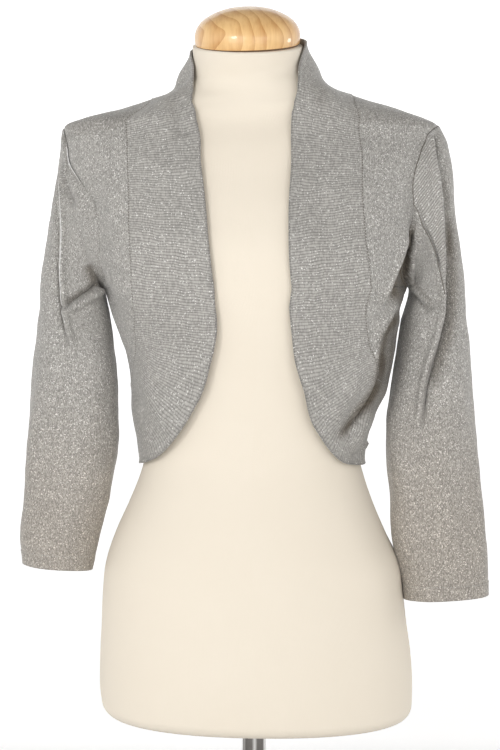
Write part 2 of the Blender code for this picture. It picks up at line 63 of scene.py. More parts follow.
# The wearer's right side lies at -X, which is the left of a front view.
SIGN = {"right": -1, "left": 1}

# How the panels are divided. A front shares its seams' rows with the back.
SIDE_ROWS = 56
ARMHOLE_ROWS = 96
FRONT_COLUMNS = 64
BACK_SHOULDER_COLUMNS = 44
BACK_NECK_COLUMNS = 60
BACK_HEM_ROWS = 18
BAND_STATIONS = 400
BAND_COLUMNS_ACROSS = 44
SLEEVE_AROUND = 2 * ARMHOLE_ROWS
SLEEVE_STEPS = 12
SLEEVE_HEAD_ROWS = 12
FORM_AROUND = 200
FORM_ROWS = 220

# The coarse rows and columns of the solids, whose spacing the back follows.
CAD_SIDE_ROWS = 9
CAD_ARMHOLE_ROWS = 12
CAD_SHOULDER_COLUMNS = 5
CAD_BACK_COLUMNS = 11
BACK_HEM_SHARE = 5
BACK_RISE_ROWS = 14

# Walls, the cloth's slack and the sleeves' heads and hems.
KNIT_WALL_MM = 1.5
BAND_WALL_MM = 2.0
CLEAR_OF_FORM = 0.8
SLACK_WAVES = ((95, 0.5), (61, 0.4), (38, 0.3), (23, 0.16))
BODY_SEED = 3
SLEEVE_SEEDS = {"right": 11, "left": 12}
SLEEVE_FADE = 14
CREASE_FADE = 5
CUFF_HEM = 15
CUFF_HEM_RISE = 0.5
CUFF_DIP = 0.5
CUFF_GROOVE = 1.6
CUFF_WAVE = 0.8
CUFF_WAVE_REACH = 40
CUFF_WAVE_TURN = 40
SEAM_GAP = 0.3
SEAM_SLANT = 1.4
SLEEVE_SEAM_RISE = {"right": 0.0, "left": 1.5}
SLEEVE_SEAM_OUT = 0.5
SLEEVE_SEAM_ALONG = 1.8
SLEEVE_BLEND_ROWS = 4
SLEEVE_BLEND_SHARE = 0.35
SLEEVE_SQUARENESS = 2.2
HEAD_LEAD = 0.6
HEAD_SQUARENESS = {"right": (1.55, 3.0), "left": (2.2, 2.2)}
HEAD_ROWS = 3.5
ARMHOLE_CROWDING = 1.25
SHOULDER_RISE_FROM = 740

# Sections of the form. minus_x and plus_x are reaches from x = 0, front and back from y = 0,
# square is the exponent of the section's outline and lean its forward tilt as a slope.
FORM_COLUMNS = ("height", "minus_x", "plus_x", "front", "back", "square", "lean")
FORM = (
    (206, 162, 169.5, 108, 116, 2.2, 0),
    (243, 166.3, 170.5, 112, 120, 2.2, 0),
    (275, 165.8, 168.6, 113, 121, 2.2, 0),
    (307, 164.3, 164.2, 112, 120, 2.2, 0),
    (340, 163, 160.4, 110, 117, 2.2, 0),
    (372, 159.5, 156.2, 107, 111, 2.2, 0),
    (405, 148.8, 141, 102, 102, 2.15, 0),
    (437, 134.3, 127.5, 96, 91, 2.1, 0),
    (469, 121.5, 116.8, 89, 81, 2.1, 0),
    (486, 117.5, 112.8, 87, 77, 2.1, 0),
    (520, 119, 118, 90, 77, 2.1, 0),
    (560, 124, 129, 98, 80, 2.15, 0),
    (600, 131, 139, 109, 86, 2.2, 0),
    (640, 143, 147, 120, 92, 2.25, 0),
    (667, 150, 150, 124, 95, 2.3, 0),
    (700, 157, 157, 123, 98, 2.3, 0),
    (740, 166, 164, 112, 101, 2.3, 0),
    (780, 180, 176, 95, 98, 2.3, 0),
    (810, 190, 186, 82, 92, 2.25, 0),
    (839, 189, 185, 67, 78, 2.2, 0),
    (847.2, 175.5, 173.5, 65, 75, 2.15, 0),
    (856.9, 139.5, 153, 64, 73, 2.1, 0),
    (865.5, 114, 122.5, 62, 69, 2.05, 0),
    (871.5, 95, 104, 61, 66, 2.0, 0),
    (876, 84, 90, 60.5, 64, 2.0, 0),
    (882, 75, 77, 61, 61, 2.0, 0.02),
    (890, 68, 63, 62, 57, 2.0, 0.06),
    (900, 66, 55, 64.5, 53.5, 2.0, 0.13),
    (912, 65.5, 52, 68, 48.5, 2.0, 0.22),
    (927, 65.5, 52, 72, 44, 2.0, 0.29),
    (945, 65.5, 52, 76.5, 39, 2.0, 0.29),
)
FORM_TOP = 925.2
FORM_RIM = 14
FORM_RIM_ROWS = 9
FORM_TILT = 2.2
TILT_TO = 300
CAP_ROLL = 1.4

# How far the cloth's inside stands off the form on each side.
EASE_COLUMNS = ("height", "minus_x", "plus_x", "front", "back")
EASE = (
    (470, 2.5, 4, 3, 3),
    (502, 6, 5.5, 6, 4),
    (534, 8.5, 8.5, 8, 5),
    (567, 5.2, 12.8, 8, 5),
    (599, 4.8, 11.5, 6, 5),
    (631, 6.6, 7.9, 4, 4),
    (645, 8, 6.6, 3.4, 4),
    (655, 8.8, 9.2, 3, 4),
    (667, 10, 13, 2.5, 4),
    (700, 12, 11, 2.5, 4),
    (740, 13, 12, 3, 4),
    (780, 12, 12, 3, 3),
    (810, 10, 10, 2.5, 2.5),
    (839, 14.5, 12.5, 4, 6),
    (849, 8, 10.5, 3, 4),
    (858, 5.5, 2, 2, 2.2),
    (866, 1.3, 4.5, 2, 2),
    (876, 1.2, 3.2, 2, 2),
    (882, 1.4, 1.8, 2, 2),
    (890, 2.5, 2.9, 2, 2),
    (905, 1.1, 2.3, 2, 2),
    (945, 0.6, 1.1, 2, 2),
)

# The band of each front, from the centre of the back neck over the shoulder to the side seam.
BAND_COLUMNS = ("seam_turn", "seam_height", "edge_turn", "edge_height", "bend", "lift")
BANDS = {
    "right": (
        (180, 852, 180, 920, 5, 4),
        (148, 853, 149.2, 920, 6, 4),
        (118, 859, 118.9, 919.3, 5.8, 0.4),
        (90, 867.5, 94.6, 918.5, 10, 0.6),
        (66, 864.5, 71.8, 908.4, 1.4, 1.2),
        (48, 855, 54, 882, 7.4, 3.4),
        (39.5, 843, 30.2, 861.2, 4.3, 1.8),
        (38, 826, 14.2, 838.6, 1.9, 4),
        (38, 800, 13, 803.7, 1, 2.8),
        (40, 765, 12.4, 760, 0.5, 2.5),
        (43, 730, 12.4, 722, 0, 2),
        (45.5, 695, 12.2, 685, 0, 2),
        (49, 660, 12.4, 652, 0, 2),
        (55, 629, 14, 624, 0, 3),
        (61.5, 607, 19, 590, 0, 3),
        (66, 594, 25, 551, 1, 3),
        (71, 583, 34, 520, 1, 3),
        (77, 573, 48, 495, 1, 2),
        (83, 565, 66, 483.5, 0.5, 1),
        (90, 558, 90, 478, 0, 0),
    ),
    "left": (
        (180, 852, 180, 920, 5, 4),
        (148, 854, 149.1, 922, 6, 4.3),
        (118, 862, 118.2, 928.8, 10, 1.6),
        (90, 873.5, 92.6, 929, 11.2, 0.5),
        (66, 870, 70.9, 918.2, 10.1, 0.8),
        (46, 861, 47.2, 893.4, 6.1, 2.7),
        (35.5, 850, 20.5, 869.5, 4.2, 3.3),
        (31.3, 832, 10.8, 846.4, 1.8, 4.3),
        (32, 806, 9.8, 810.3, 1.2, 0.4),
        (33.7, 770, 9.4, 765, 0.5, 2.5),
        (37, 733, 9.5, 725, 0, 2),
        (40.5, 697, 9.9, 688, 0, 2),
        (44, 660, 10.7, 654, 0, 2),
        (46, 626, 10.9, 622, 0, 3),
        (48.3, 604, 12.7, 586, 0, 3),
        (51.5, 588, 21, 546, 1, 3),
        (56, 577, 30, 518, 1, 3),
        (64, 570, 46, 489, 1, 2),
        (74, 565, 62, 480.5, 0.5, 1),
        (84, 562, 84, 479, 0, 0),
    ),
}
LAST_STATION = 19
SHOULDER_STATION = 3
CORNER_STATION = 18.6
CORNER_RISE = 1

# Armhole seams, from the underarm point up to the shoulder tip.
ARMHOLE_COLUMNS = ("height", "front_turn", "back_turn")
ARMHOLES = {
    "right": (
        (667, 90, 90),
        (676, 80, 100),
        (690, 72, 108),
        (725, 66, 114),
        (749, 64.5, 115),
        (766, 66, 114),
        (787, 73, 111),
        (805, 78, 106),
        (822, 81, 101),
        (833, 84, 96),
        (838, 90, 90),
    ),
    "left": (
        (667, 84, 84),
        (676, 78, 97),
        (690, 75, 107),
        (725, 72, 114),
        (754, 66, 115),
        (770, 61.5, 114),
        (793, 59.5, 110),
        (818, 64, 103),
        (835, 73, 96),
        (842, 90, 90),
    ),
}

# Outline of each sleeve seen from the front, half its depth, and how far forward its middle hangs.
SLEEVE_COLUMNS = ("outer_x", "outer_z", "inner_x", "inner_z", "half_depth", "forward")
SLEEVES = {
    "right": (
        (209.1, 812, 170, 664, 50, 0),
        (212.3, 788, 163.5, 654, 48, 0),
        (217.6, 754, 158.5, 640, 46, 1),
        (223.4, 715, 154.5, 622, 44, 2),
        (230.4, 676, 151.5, 605, 43, 3),
        (232.9, 630, 146.8, 580, 41.5, 4),
        (238.5, 585, 144.3, 552, 40, 5),
        (243, 540, 142.6, 518, 38, 6),
        (246.3, 495, 145.2, 487, 36.5, 7),
        (248.6, 455, 151.8, 453, 35, 8),
        (251, 425, 159.6, 422, 33, 8),
        (250.8, 395, 167.2, 391, 31, 8),
        (249.3, 371.5, 174.8, 364.3, 29.5, 8),
    ),
    "left": (
        (211.8, 814, 174, 664, 50, 0),
        (216.6, 785, 170.6, 656, 48, 0),
        (217.3, 750, 165.4, 641, 46, 1),
        (221.5, 710, 159.4, 627, 44, 2),
        (227.2, 670, 155.3, 606, 43, 3),
        (230.8, 625, 150, 578, 41.5, 4),
        (233, 580, 145.2, 552, 40, 5),
        (237.4, 535, 139.8, 520, 38, 6),
        (243.3, 490, 140.5, 483, 36.5, 8),
        (247.3, 450, 144, 448, 35, 10),
        (249.8, 415, 146.5, 415, 33, 12),
        (249.6, 388, 150.2, 388, 31.5, 14),
        (250.6, 362, 157.2, 360, 30, 15),
        (251, 338.6, 161.5, 333.4, 29.5, 15),
    ),
}

# Large folds of the body panels in body coordinates, from a to b. depth is positive for a ridge.
Fold = namedtuple("Fold", ("turn_a", "height_a", "turn_b", "height_b", "width", "depth"))
FOLDS = (
    (76, 745, 72, 672, 16, -7),
    (62, 592, 44, 512, 13, -5),
    (50, 600, 33, 520, 13, 3),
    (-84, 700, -70, 640, 14, -4),
    (150, 700, 128, 560, 26, 4),
    (-152, 720, -130, 560, 28, 4),
    (176, 640, 170, 480, 30, -2),
    (97, 502, 98, 491, 7, 5.5),
)
TURN_ARC = 2.2
WALES_FROM = 640
FOLD_REACH = 1.15
FOLD_FADE = 1.6

# Creases by piece and by the side that they are drawn on and seen from. shape is soft for a trough
# (negative depth) or ridge, and lap for a fold whose left side, going along the route, lies over its
# right side.
Drawn = namedtuple("Drawn", ("shape", "width", "depth", "route"))
CREASES = {
    ("sleeve_left", "front"): (
        ("lap", 4, -5,
         ((189, 829), (191, 811), (192, 796), (195, 778), (197, 760), (198.5, 736), (199.3, 718),
          (200.4, 703), (201.2, 683), (201.5, 665), (201.5, 653), (200.8, 638), (198, 626), (194, 612),
          (188, 593), (180, 563), (175, 523))),
        ("soft", 6, -6,
         ((197, 806), (201, 775), (205, 736), (207, 703), (208, 665), (207, 640), (201, 612),
          (190, 572))),
        ("soft", 5, -10, ((165, 722), (160, 706), (156, 690), (154, 674), (154, 660))),
        ("lap", 3, 4, ((168.5, 722), (165.5, 702), (164, 687), (163, 672), (163, 662))),
        ("lap", 3, -2.2,
         ((170.7, 752), (176.6, 731), (184.3, 717.6), (190.3, 702.5), (194.1, 687.7), (197.7, 671),
          (200, 659))),
        ("lap", 4, 4.5, ((162, 674), (169, 663.5), (178, 651.5), (187, 642.5))),
        ("soft", 16, -3.5, ((184, 600), (176, 552), (172, 500), (176, 440))),
        ("soft", 15, 3, ((214, 560), (206, 500), (202, 440), (206, 390))),
        ("soft", 12, -2.5, ((229, 520), (226, 450), (229, 380))),
    ),
    ("sleeve_left", "back"): (
        ("soft", 12, -4, ((196, 780), (188, 700), (192, 640))),
        ("soft", 11, -4, ((222, 596), (196, 584), (166, 592))),
        ("soft", 10, 3, ((226, 580), (200, 566), (168, 572))),
        ("soft", 13, -3, ((206, 550), (196, 480), (204, 400))),
    ),
    ("sleeve_left", "outer"): (
        ("soft", 12, -4, ((10, 760), (4, 690), (-8, 620))),
        ("soft", 13, -3, ((-22, 560), (-8, 480), (-14, 400))),
    ),
    ("sleeve_left", "inner"): (
        ("soft", 12, -3, ((-12, 600), (-4, 520), (-16, 430))),
    ),
    ("sleeve_right", "front"): (
        ("soft", 5, -6.5, ((-205, 815), (-204, 800), (-201, 786), (-198, 772), (-190, 754))),
        ("lap", 3.5, 4.5,
         ((-208, 792), (-207.5, 779), (-205.5, 756), (-203, 733), (-203, 709), (-204, 690),
          (-203.5, 671), (-201.5, 645), (-198, 624), (-194, 612))),
        ("lap", 4.5, 6, ((-163, 667), (-171, 661), (-182, 654), (-191, 648), (-200, 642))),
        ("soft", 14, -3, ((-180, 622), (-190, 570), (-202, 520), (-206, 450))),
        ("soft", 15, 2.5, ((-166, 590), (-172, 530), (-184, 460), (-192, 400))),
        ("soft", 12, -2.5, ((-226, 610), (-228, 540), (-224, 460))),
    ),
    ("sleeve_right", "back"): (
        ("soft", 13, -4, ((-194, 780), (-186, 710), (-190, 650))),
        ("soft", 11, -4, ((-226, 610), (-200, 596), (-168, 600))),
        ("soft", 10, 3, ((-228, 592), (-202, 578), (-170, 584))),
        ("soft", 13, -3, ((-204, 560), (-196, 490), (-206, 410))),
    ),
    ("sleeve_right", "outer"): (
        ("soft", 12, -4, ((14, 770), (2, 700), (-10, 640))),
        ("soft", 13, -3, ((-18, 580), (-6, 500), (-14, 420))),
    ),
    ("sleeve_right", "inner"): (
        ("soft", 12, -3, ((-10, 600), (-2, 530), (-12, 450))),
    ),
    ("body", "front"): (
        ("lap", 5, -4.5, ((166, 722), (158, 708), (152, 693), (145.5, 678), (140, 665), (133, 650))),
        ("soft", 8, -6, ((168, 706), (164, 690), (159, 676), (156, 660))),
        ("lap", 5, -6.5,
         ((147, 643), (135, 626), (128, 612), (125, 598), (124, 584), (121, 568), (113, 548),
          (104, 530))),
        ("soft", 10, -7, ((150, 622), (142, 596), (136, 566), (128, 532))),
        ("soft", 7, -3.5, ((126, 566), (112, 538), (96, 516))),
        ("soft", 7, 4.5, ((138, 560), (126, 540), (112, 521), (104, 500))),
        ("soft", 3.5, -2.5, ((143, 640), (140, 606), (138, 574))),
        ("soft", 3, 1.8, ((135, 618), (133, 590), (131, 574))),
        ("soft", 5, -3, ((122, 516), (110, 498), (104, 482))),
        ("soft", 11, -2.5, ((104, 652), (98, 606), (84, 560), (68, 528))),
        ("soft", 13, -2, ((66, 790), (70, 740), (80, 690), (96, 650))),
        ("soft", 9, -3.5, ((-80, 862), (-77, 842), (-73, 822))),
        ("soft", 10, -3, ((-168, 766), (-160, 738), (-151, 708))),
        ("soft", 10, 2, ((-150, 786), (-142, 750), (-138, 716))),
        ("soft", 9, -3, ((-160, 664), (-148, 650), (-134, 640))),
        ("soft", 12, -2, ((-76, 760), (-82, 700), (-98, 640), (-112, 590))),
        ("soft", 10, -2.2, ((-124, 560), (-112, 530), (-92, 506))),
        ("soft", 10, 2, ((-118, 578), (-104, 546), (-84, 516))),
    ),
    ("body", "back"): (
        ("soft", 15, -4, ((-108, 800), (-96, 740), (-88, 670), (-92, 600))),
        ("soft", 13, 3, ((-70, 770), (-58, 700), (-52, 620), (-60, 520))),
        ("soft", 12, -3, ((-22, 700), (-14, 620), (-20, 540), (-16, 490))),
        ("soft", 15, -4, ((112, 806), (98, 730), (90, 650), (96, 590))),
        ("soft", 13, 3, ((66, 780), (60, 690), (50, 600), (54, 510))),
        ("soft", 11, -3, ((30, 660), (24, 580), (30, 500))),
        ("soft", 12, -4, ((-142, 690), (-118, 668), (-84, 660))),
        ("soft", 12, -4, ((144, 694), (116, 670), (80, 664))),
        ("soft", 10, -2.5, ((-104, 560), (-60, 548), (-10, 552))),
        ("soft", 10, 2, ((-96, 540), (-50, 528), (0, 534), (60, 528))),
        ("soft", 10, -2.5, ((108, 566), (66, 556), (24, 560))),
    ),
}

# Painted shade: where the cloth lies deep or folded over, or turns from the light as on the shoulder tops
# and the body's sides, its colour is darkened, drawn like the creases. depth is how dark, soft follows
# the line and beside is all that lies on its right.
PAINTED_SHADES = {
    ("body", "front"): (
        ("beside", 2.5, 1,
         ((131, 652), (140, 665), (146, 678), (152, 690), (159, 706), (168.5, 722), (176, 736))),
        ("soft", 7, 0.3, ((143, 663), (150, 658), (158, 657))),
        ("soft", 4.5, 0.45, ((156, 640), (143, 627), (137, 616), (133, 603), (131, 588), (130, 572))),
        ("soft", 1.6, 0.3, ((147, 634), (145, 602), (141, 568))),
        ("beside", 2.5, 0.5,
         ((100, 528), (116, 550), (123.5, 565), (125, 577), (126.5, 596), (128.5, 614), (133.5, 623),
          (139.5, 632), (151, 646), (166, 658))),
        ("soft", 5.5, 1, ((133, 592), (130, 577), (126, 563), (117, 548), (106, 534), (88, 513))),
        ("beside", 3, 0.2,
         ((-70, 894), (-100, 872), (-119, 857), (-130, 840), (-142, 831), (-174, 830), (-206, 823),
          (-240, 812))),
        ("beside", 5, 0.16, ((250, 838), (206, 838), (160, 836), (112, 838), (80, 842))),
        ("soft", 8, 0.12, ((66, 884), (70, 868), (72, 850))),
    ),
    ("sleeve_left", "front"): (
        ("beside", 2, 0.95,
         ((172, 738), (168.5, 722), (165.5, 702), (164.5, 687), (163.5, 672), (163.5, 650))),
        ("soft", 3.5, 0.35, ((201, 780), (204, 752), (206, 726), (206, 700))),
        ("soft", 6.5, 0.55,
         ((206, 735), (208.5, 703), (209.5, 668), (209, 640), (205, 615), (197, 592), (188, 566))),
        ("soft", 3, 0.3, ((164, 676), (172, 666), (180, 656), (188, 647))),
    ),
    ("sleeve_right", "front"): (
        ("soft", 6, 0.75, ((-174, 690), (-170, 680), (-168, 668))),
        ("soft", 4, 0.5, ((-169, 666), (-183, 660), (-197, 651))),
        ("beside", 3, 0.2, ((-100, 836), (-174, 830), (-214, 822), (-250, 812))),
    ),
}
SHADE_FROM = -0.35
SHADE_TO = -0.05
FACING_FROM = -0.1
FACING_TO = 0.35
CREASE_END = 0.22
LAP_STEEPNESS = 1.6
PROFILES = {
    "soft": lambda across: np.exp(-across * across),
    "lap": lambda across: -across * LAP_STEEPNESS * np.exp(0.5 - across * across),
    "beside": lambda across: smooth(across + 0.5),
}
SIDE_AXES = {"front": (0, -1, 0), "back": (0, 1, 0), "outer": (1, 0, 0), "inner": (-1, 0, 0)}

# The left sleeve's head is knit aslant: left of the first line, going down, and left of the second,
# which is the armhole seam's tail.
SLANTED_HEAD_LINE = ((189, 836), (192, 796), (197, 760), (199, 720), (201, 685), (201, 655))
ARMHOLE_TAIL = (
    (200, 659), (197.7, 671), (194, 688), (190.3, 702.5), (184.3, 717.6), (176.6, 731), (170.7, 748),
)
SLANTED_HEAD_FROM = 655
SLANTED_HEAD_ABOVE_TAIL = 752
SLANTED_HEAD_FACING = 0.3
SLANTED_HEAD_ANGLE = 54
# The sleeves turn warmer below this height, over this length: a painted warm reflection of the
# surroundings.
WARM_FROM = 620
WARM_OVER = 240

# Yarn in the seams. An armhole's cord stands on its edge down to the height where the seam leaves the
# edge, and below that a fill of knit joins the pieces, stouter towards the underarm.
SEAM_LEAVES_EDGE = {"right": 776, "left": 750}
SEAM_FILL_OVERLAP = 3
SEAM_FILL_RADIUS = 1.4
SEAM_FILL_STOUTER = 1.35
SEAM_FILL_STOUT_BELOW = 685
SEAM_FILL_STOUT_OVER = 20
SEAM_FILL_LIFT = 0.5
SEAM_FILL_OUT = 0.5
ARMHOLE_CORD_RADIUS = {"right": 0.85, "left": 0.6}
ARMHOLE_CORD_LIFT = {"right": 2.7, "left": 1.5}
CORD_TAPER = {"right": 0.3, "left": 0.9}
CORD_TAPER_OVER = {"right": 14, "left": 40}
CORD_STEP = 1.5
CORD_SIDES = 8
# The right sleeve's fold crest gets a thin light cord: a painted highlight of the light that the crest
# catches.
FOLD_CREST = (
    (-208, 780), (-206, 763), (-204, 743), (-202.8, 722), (-203.3, 708), (-204, 682), (-203, 656),
    (-201, 637), (-197.5, 626),
)
FOLD_CREST_RADIUS = 0.7
FOLD_CREST_LIFT = -0.1
FOLD_CREST_SPAN = (0.03, 0.97)
ARMHOLE_TAIL_LIFT = 0.3
# Light yarn for the right armhole's seam cord, partly the seam's own yarn and partly a painted highlight
# on its ridge, and for the fold crest's painted highlight.
PIPING_AND_HIGHLIGHT_TINT = (0.85, 0.84, 0.82)
PLAIN_SEAM_RADIUS = 0.5
PLAIN_SEAM_STEP = 2.0
PLAIN_SEAM_LIFT = 1.4
BAND_SEAM_LIFT = 1.7
BAND_SEAM_SPAN = slice(4, -6)
BAND_EDGE_RADIUS = 1.15
BAND_EDGE_STEP = 1.6
STITCH_SIDES = 6
STITCH_GRAIN = ((-1, 0.15), (-0.82, 0.7), (-0.4, 1), (0, 1), (0.4, 1), (0.82, 0.7), (1, 0.15))
STITCH_ARCH = 0.7
Stitch = namedtuple("Stitch", ("step", "length", "radius", "slant"))
BAND_STITCH = Stitch(3.1, 1.9, 0.42, 12)
CUFF_STITCH = Stitch(2.9, 2.0, 0.36, 8)
CUFF_STITCH_LIFT = 0.1

# Studio, in millimetres. AXIS_SHIFT is how far the camera's axis lies from the frame's middle, in
# rows of the 500 by 750 frame.
FRAME_HEIGHT = 750
SENSOR = 24
AXIS_SHIFT = (-4, -75)
PAPER_REACH = 5000
PAPER_BACK = 3600
PAPER_BEND = 700
PAPER_BEND_ROWS = 17
PAPER_HEIGHT = 4200

# The paper glows from behind where it lies this far back, in metres.
PAPER_GLOW_FROM_TO = (0.25, 0.65)

# Area lights, each with its place and width in metres and its share of the key's or fill's power.
LIGHTS = {
    "key": ((-1.05, -2.5, 0.9), 1.7, "key", 1.0),
    "fill": ((1.2, -2.4, 0.7), 1.6, "fill", 1.0),
    "small softbox": ((-1.0, -1.85, 1.25), 0.42, "key", 0.4),
    "side": ((2.3, 0.5, 0.9), 0.4, "key", 0.28),
}
LIGHTS_AIM = (0, 0, 0.62)

# The pale room is dimmer overhead and below, and brighter at both sides.
ROOM_COLOUR = (1.0, 0.99, 0.975, 1)
ROOM_STEEPNESS = (0.15, 0.8)
ROOM_TOP_SHARE = 0.25
ROOM_SIDEWAYS = (0.45, 0.95)
ROOM_SIDES_GAIN = 1.5

# Turned outline of the wooden cap: radius and height of each ring, from its foot up to the crown.
CAP = (
    (54.8, 0), (55.6, 1.6), (56.3, 3.5), (56.6, 7), (56.6, 10.5), (56.1, 14), (55, 17.6), (52.8, 21.7),
    (49.4, 25.8), (44.6, 29.6), (38.8, 32.9), (32.6, 35.8), (26, 38), (20, 39.5), (14, 40.4), (8, 40.9),
    (2.5, 41.1),
)
# The side of the cap's foot is dark brown up to the height below: painted shadow of the thin gap between
# the cap and the neck.
CAP_FOOT_SHADOW = (0.13, 0.075, 0.04, 1.0)
CAP_FOOT_SHADOW_TOP = 0.96
FACING_UP = 0.9
POLE_SIDES = 64
POLE_DARKER = 0.72
BASE_SIDES = 128
BASE_STREAK = 0.12
BASE_FOOT_EDGE = 1.0


def tangents(stops, values):
    """Slopes of a smooth curve through the values that never overshoots them."""
    steps = np.diff(values) / np.diff(stops)
    inner = np.where(steps[:-1] * steps[1:] <= 0, 0.0, (steps[:-1] + steps[1:]) / 2)
    found = np.concatenate(([steps[0]], inner, [steps[-1]]))
    for i, step in enumerate(steps):
        if step == 0:
            found[i : i + 2] = 0.0
            continue
        reach = math.hypot(found[i] / step, found[i + 1] / step)
        if reach > 3:
            found[i : i + 2] *= 3 / reach
    return found


def cubic(t, start, leave, end, arrive):
    """A smooth way from one value to another, with its slopes at both."""
    return (
        (2 * t**3 - 3 * t**2 + 1) * start
        + (t**3 - 2 * t**2 + t) * leave
        + (3 * t**2 - 2 * t**3) * end
        + (t**3 - t**2) * arrive
    )


class Curves:
    """A table whose named columns are smooth curves of its first column or of its row number."""

    def __init__(self, columns, rows, by_row=False):
        values = np.array(rows, float)
        self.stops = np.arange(len(rows), dtype=float) if by_row else values[:, 0]
        self.columns = {}
        for index, name in enumerate(columns):
            self.columns[name] = (values[:, index], tangents(self.stops, values[:, index]))

    def read(self, name, at):
        values, slopes = self.columns[name]
        at = np.clip(at, self.stops[0], self.stops[-1])
        i = np.clip(np.searchsorted(self.stops, at, side="right") - 1, 0, len(self.stops) - 2)
        span = self.stops[i + 1] - self.stops[i]
        t = (at - self.stops[i]) / span
        return cubic(t, values[i], span * slopes[i], values[i + 1], span * slopes[i + 1])


FORM_CURVES = Curves(FORM_COLUMNS, FORM)
EASE_CURVES = Curves(EASE_COLUMNS, EASE)
BAND_CURVES = {side: Curves(BAND_COLUMNS, rows, by_row=True) for side, rows in BANDS.items()}
ARMHOLE_CURVES = {side: Curves(ARMHOLE_COLUMNS, rows) for side, rows in ARMHOLES.items()}
SLEEVE_CURVES = {side: Curves(SLEEVE_COLUMNS, rows, by_row=True) for side, rows in SLEEVES.items()}


def smooth(value):
    """0 to 1 with level ends."""
    value = np.clip(value, 0.0, 1.0)
    return value * value * (3 - 2 * value)


def mix(a, b, share):
    return a + (b - a) * share


def unit(vectors):
    return vectors / np.maximum(np.linalg.norm(vectors, axis=-1, keepdims=True), 1e-9)


def fold_share(turn, height, fold):
    """How much of a fold's depth is felt at places on the body."""
    line = np.array(((fold.turn_b - fold.turn_a) * TURN_ARC, fold.height_b - fold.height_a))
    away = np.stack(((turn - fold.turn_a) * TURN_ARC, height - fold.height_a), axis=-1)
    along = away @ line / (line @ line)
    nearest = np.clip(along, 0, 1)[..., None] * line
    across = np.linalg.norm(away - nearest, axis=-1) / fold.width
    return np.exp(-across * across) * smooth(FOLD_REACH - np.abs(along - 0.5) * FOLD_FADE)


def section(turn, height, stand_off=0.0, dressed=True):
    """Points on the form, or on the inside of the cloth."""
    turn, height, stand_off = np.broadcast_arrays(*np.atleast_1d(turn, height, stand_off))
    reach = {name: FORM_CURVES.read(name, height) for name in FORM_COLUMNS[1:]}
    if dressed:
        for name in EASE_COLUMNS[1:]:
            reach[name] = reach[name] + EASE_CURVES.read(name, height)
    half_width = (reach["minus_x"] + reach["plus_x"]) / 2 + stand_off
    half_depth = (reach["front"] + reach["back"]) / 2 + stand_off
    power = 2 / reach["square"]
    sine = np.sin(np.radians(turn))
    cosine = np.cos(np.radians(turn))
    across = half_width * np.sign(sine) * np.abs(sine) ** power
    along = -half_depth * np.sign(cosine) * np.abs(cosine) ** power
    x = (reach["plus_x"] - reach["minus_x"]) / 2 + across
    y = (reach["back"] - reach["front"]) / 2 + along
    return np.stack((x, y, height + reach["lean"] * along), axis=-1)


def cloth_points(turn, height, stand_off=0.0):
    """Points on the inside of the cloth, with its large folds."""
    turn, height, stand_off = np.broadcast_arrays(*np.atleast_1d(turn, height, stand_off))
    folded = np.where(turn > 180, turn - 360, turn)
    relief = sum(fold.depth * fold_share(folded, height, fold) for fold in map(Fold._make, FOLDS))
    return section(turn, height, stand_off + relief)


def band_place(side, station, across):
    """Turn, height and stand-off on a band, from its seam at 0 to its free edge at 1."""
    read = BAND_CURVES[side].read
    turn = mix(read("seam_turn", station), read("edge_turn", station), across)
    height = mix(read("seam_height", station), read("edge_height", station), across)
    bend = read("bend", station) * np.sin(np.pi * across) ** 2
    return turn, height, bend + read("lift", station) * across**2


SEAM_READS = 4000


def station_at_height(side, height):
    """The station below the shoulder where the band's seam passes a height."""
    stations = np.linspace(SHOULDER_STATION, LAST_STATION, SEAM_READS)
    heights = BAND_CURVES[side].read("seam_height", stations)
    return np.interp(-height, -heights, stations)


def armhole_heights(side):
    """Heights of the armhole's points from the underarm to the shoulder tip, closer at both ends."""
    low, high = ARMHOLES[side][0][0], ARMHOLES[side][-1][0]
    to_tip = (1 + np.cos(np.pi * np.arange(ARMHOLE_ROWS + 1) / ARMHOLE_ROWS)) / 2
    return mix(high, low, to_tip**ARMHOLE_CROWDING)


def front_rows(side):
    """Band station, outer turn and outer height of each row of a front, from its low corner up."""
    corner_height = BANDS[side][-1][1]
    armhole = armhole_heights(side)
    tip, top = armhole[-1], BANDS[side][SHOULDER_STATION][1]
    underarm = station_at_height(side, armhole[0])
    low = mix(CORNER_STATION, underarm, np.arange(SIDE_ROWS) / SIDE_ROWS)
    seam_heights = BAND_CURVES[side].read("seam_height", low)
    share = (seam_heights - seam_heights[0]) / (armhole[0] - seam_heights[0])
    low_heights = mix(corner_height + CORNER_RISE, armhole[0], share)
    rise = smooth((armhole - SHOULDER_RISE_FROM) / (tip - SHOULDER_RISE_FROM))
    high = station_at_height(side, armhole + (top - tip) * rise)
    high[-1] = SHOULDER_STATION
    side_seam = np.full(SIDE_ROWS, ARMHOLES[side][0][1])
    turns = np.concatenate((side_seam, ARMHOLE_CURVES[side].read("front_turn", armhole)))
    return np.concatenate((low, high)), turns, np.concatenate((low_heights, armhole))


def grid_normals(points, around=False):
    """Unit normals of a grid whose rows run from low to high and columns towards +turn."""
    if around:
        padded = np.concatenate((points[:, -1:], points, points[:, :1]), axis=1)
        across = (padded[:, 2:] - padded[:, :-2]) / 2
    else:
        across = np.gradient(points, axis=1)
    normal = np.cross(across, np.gradient(points, axis=0))
    return unit(normal)


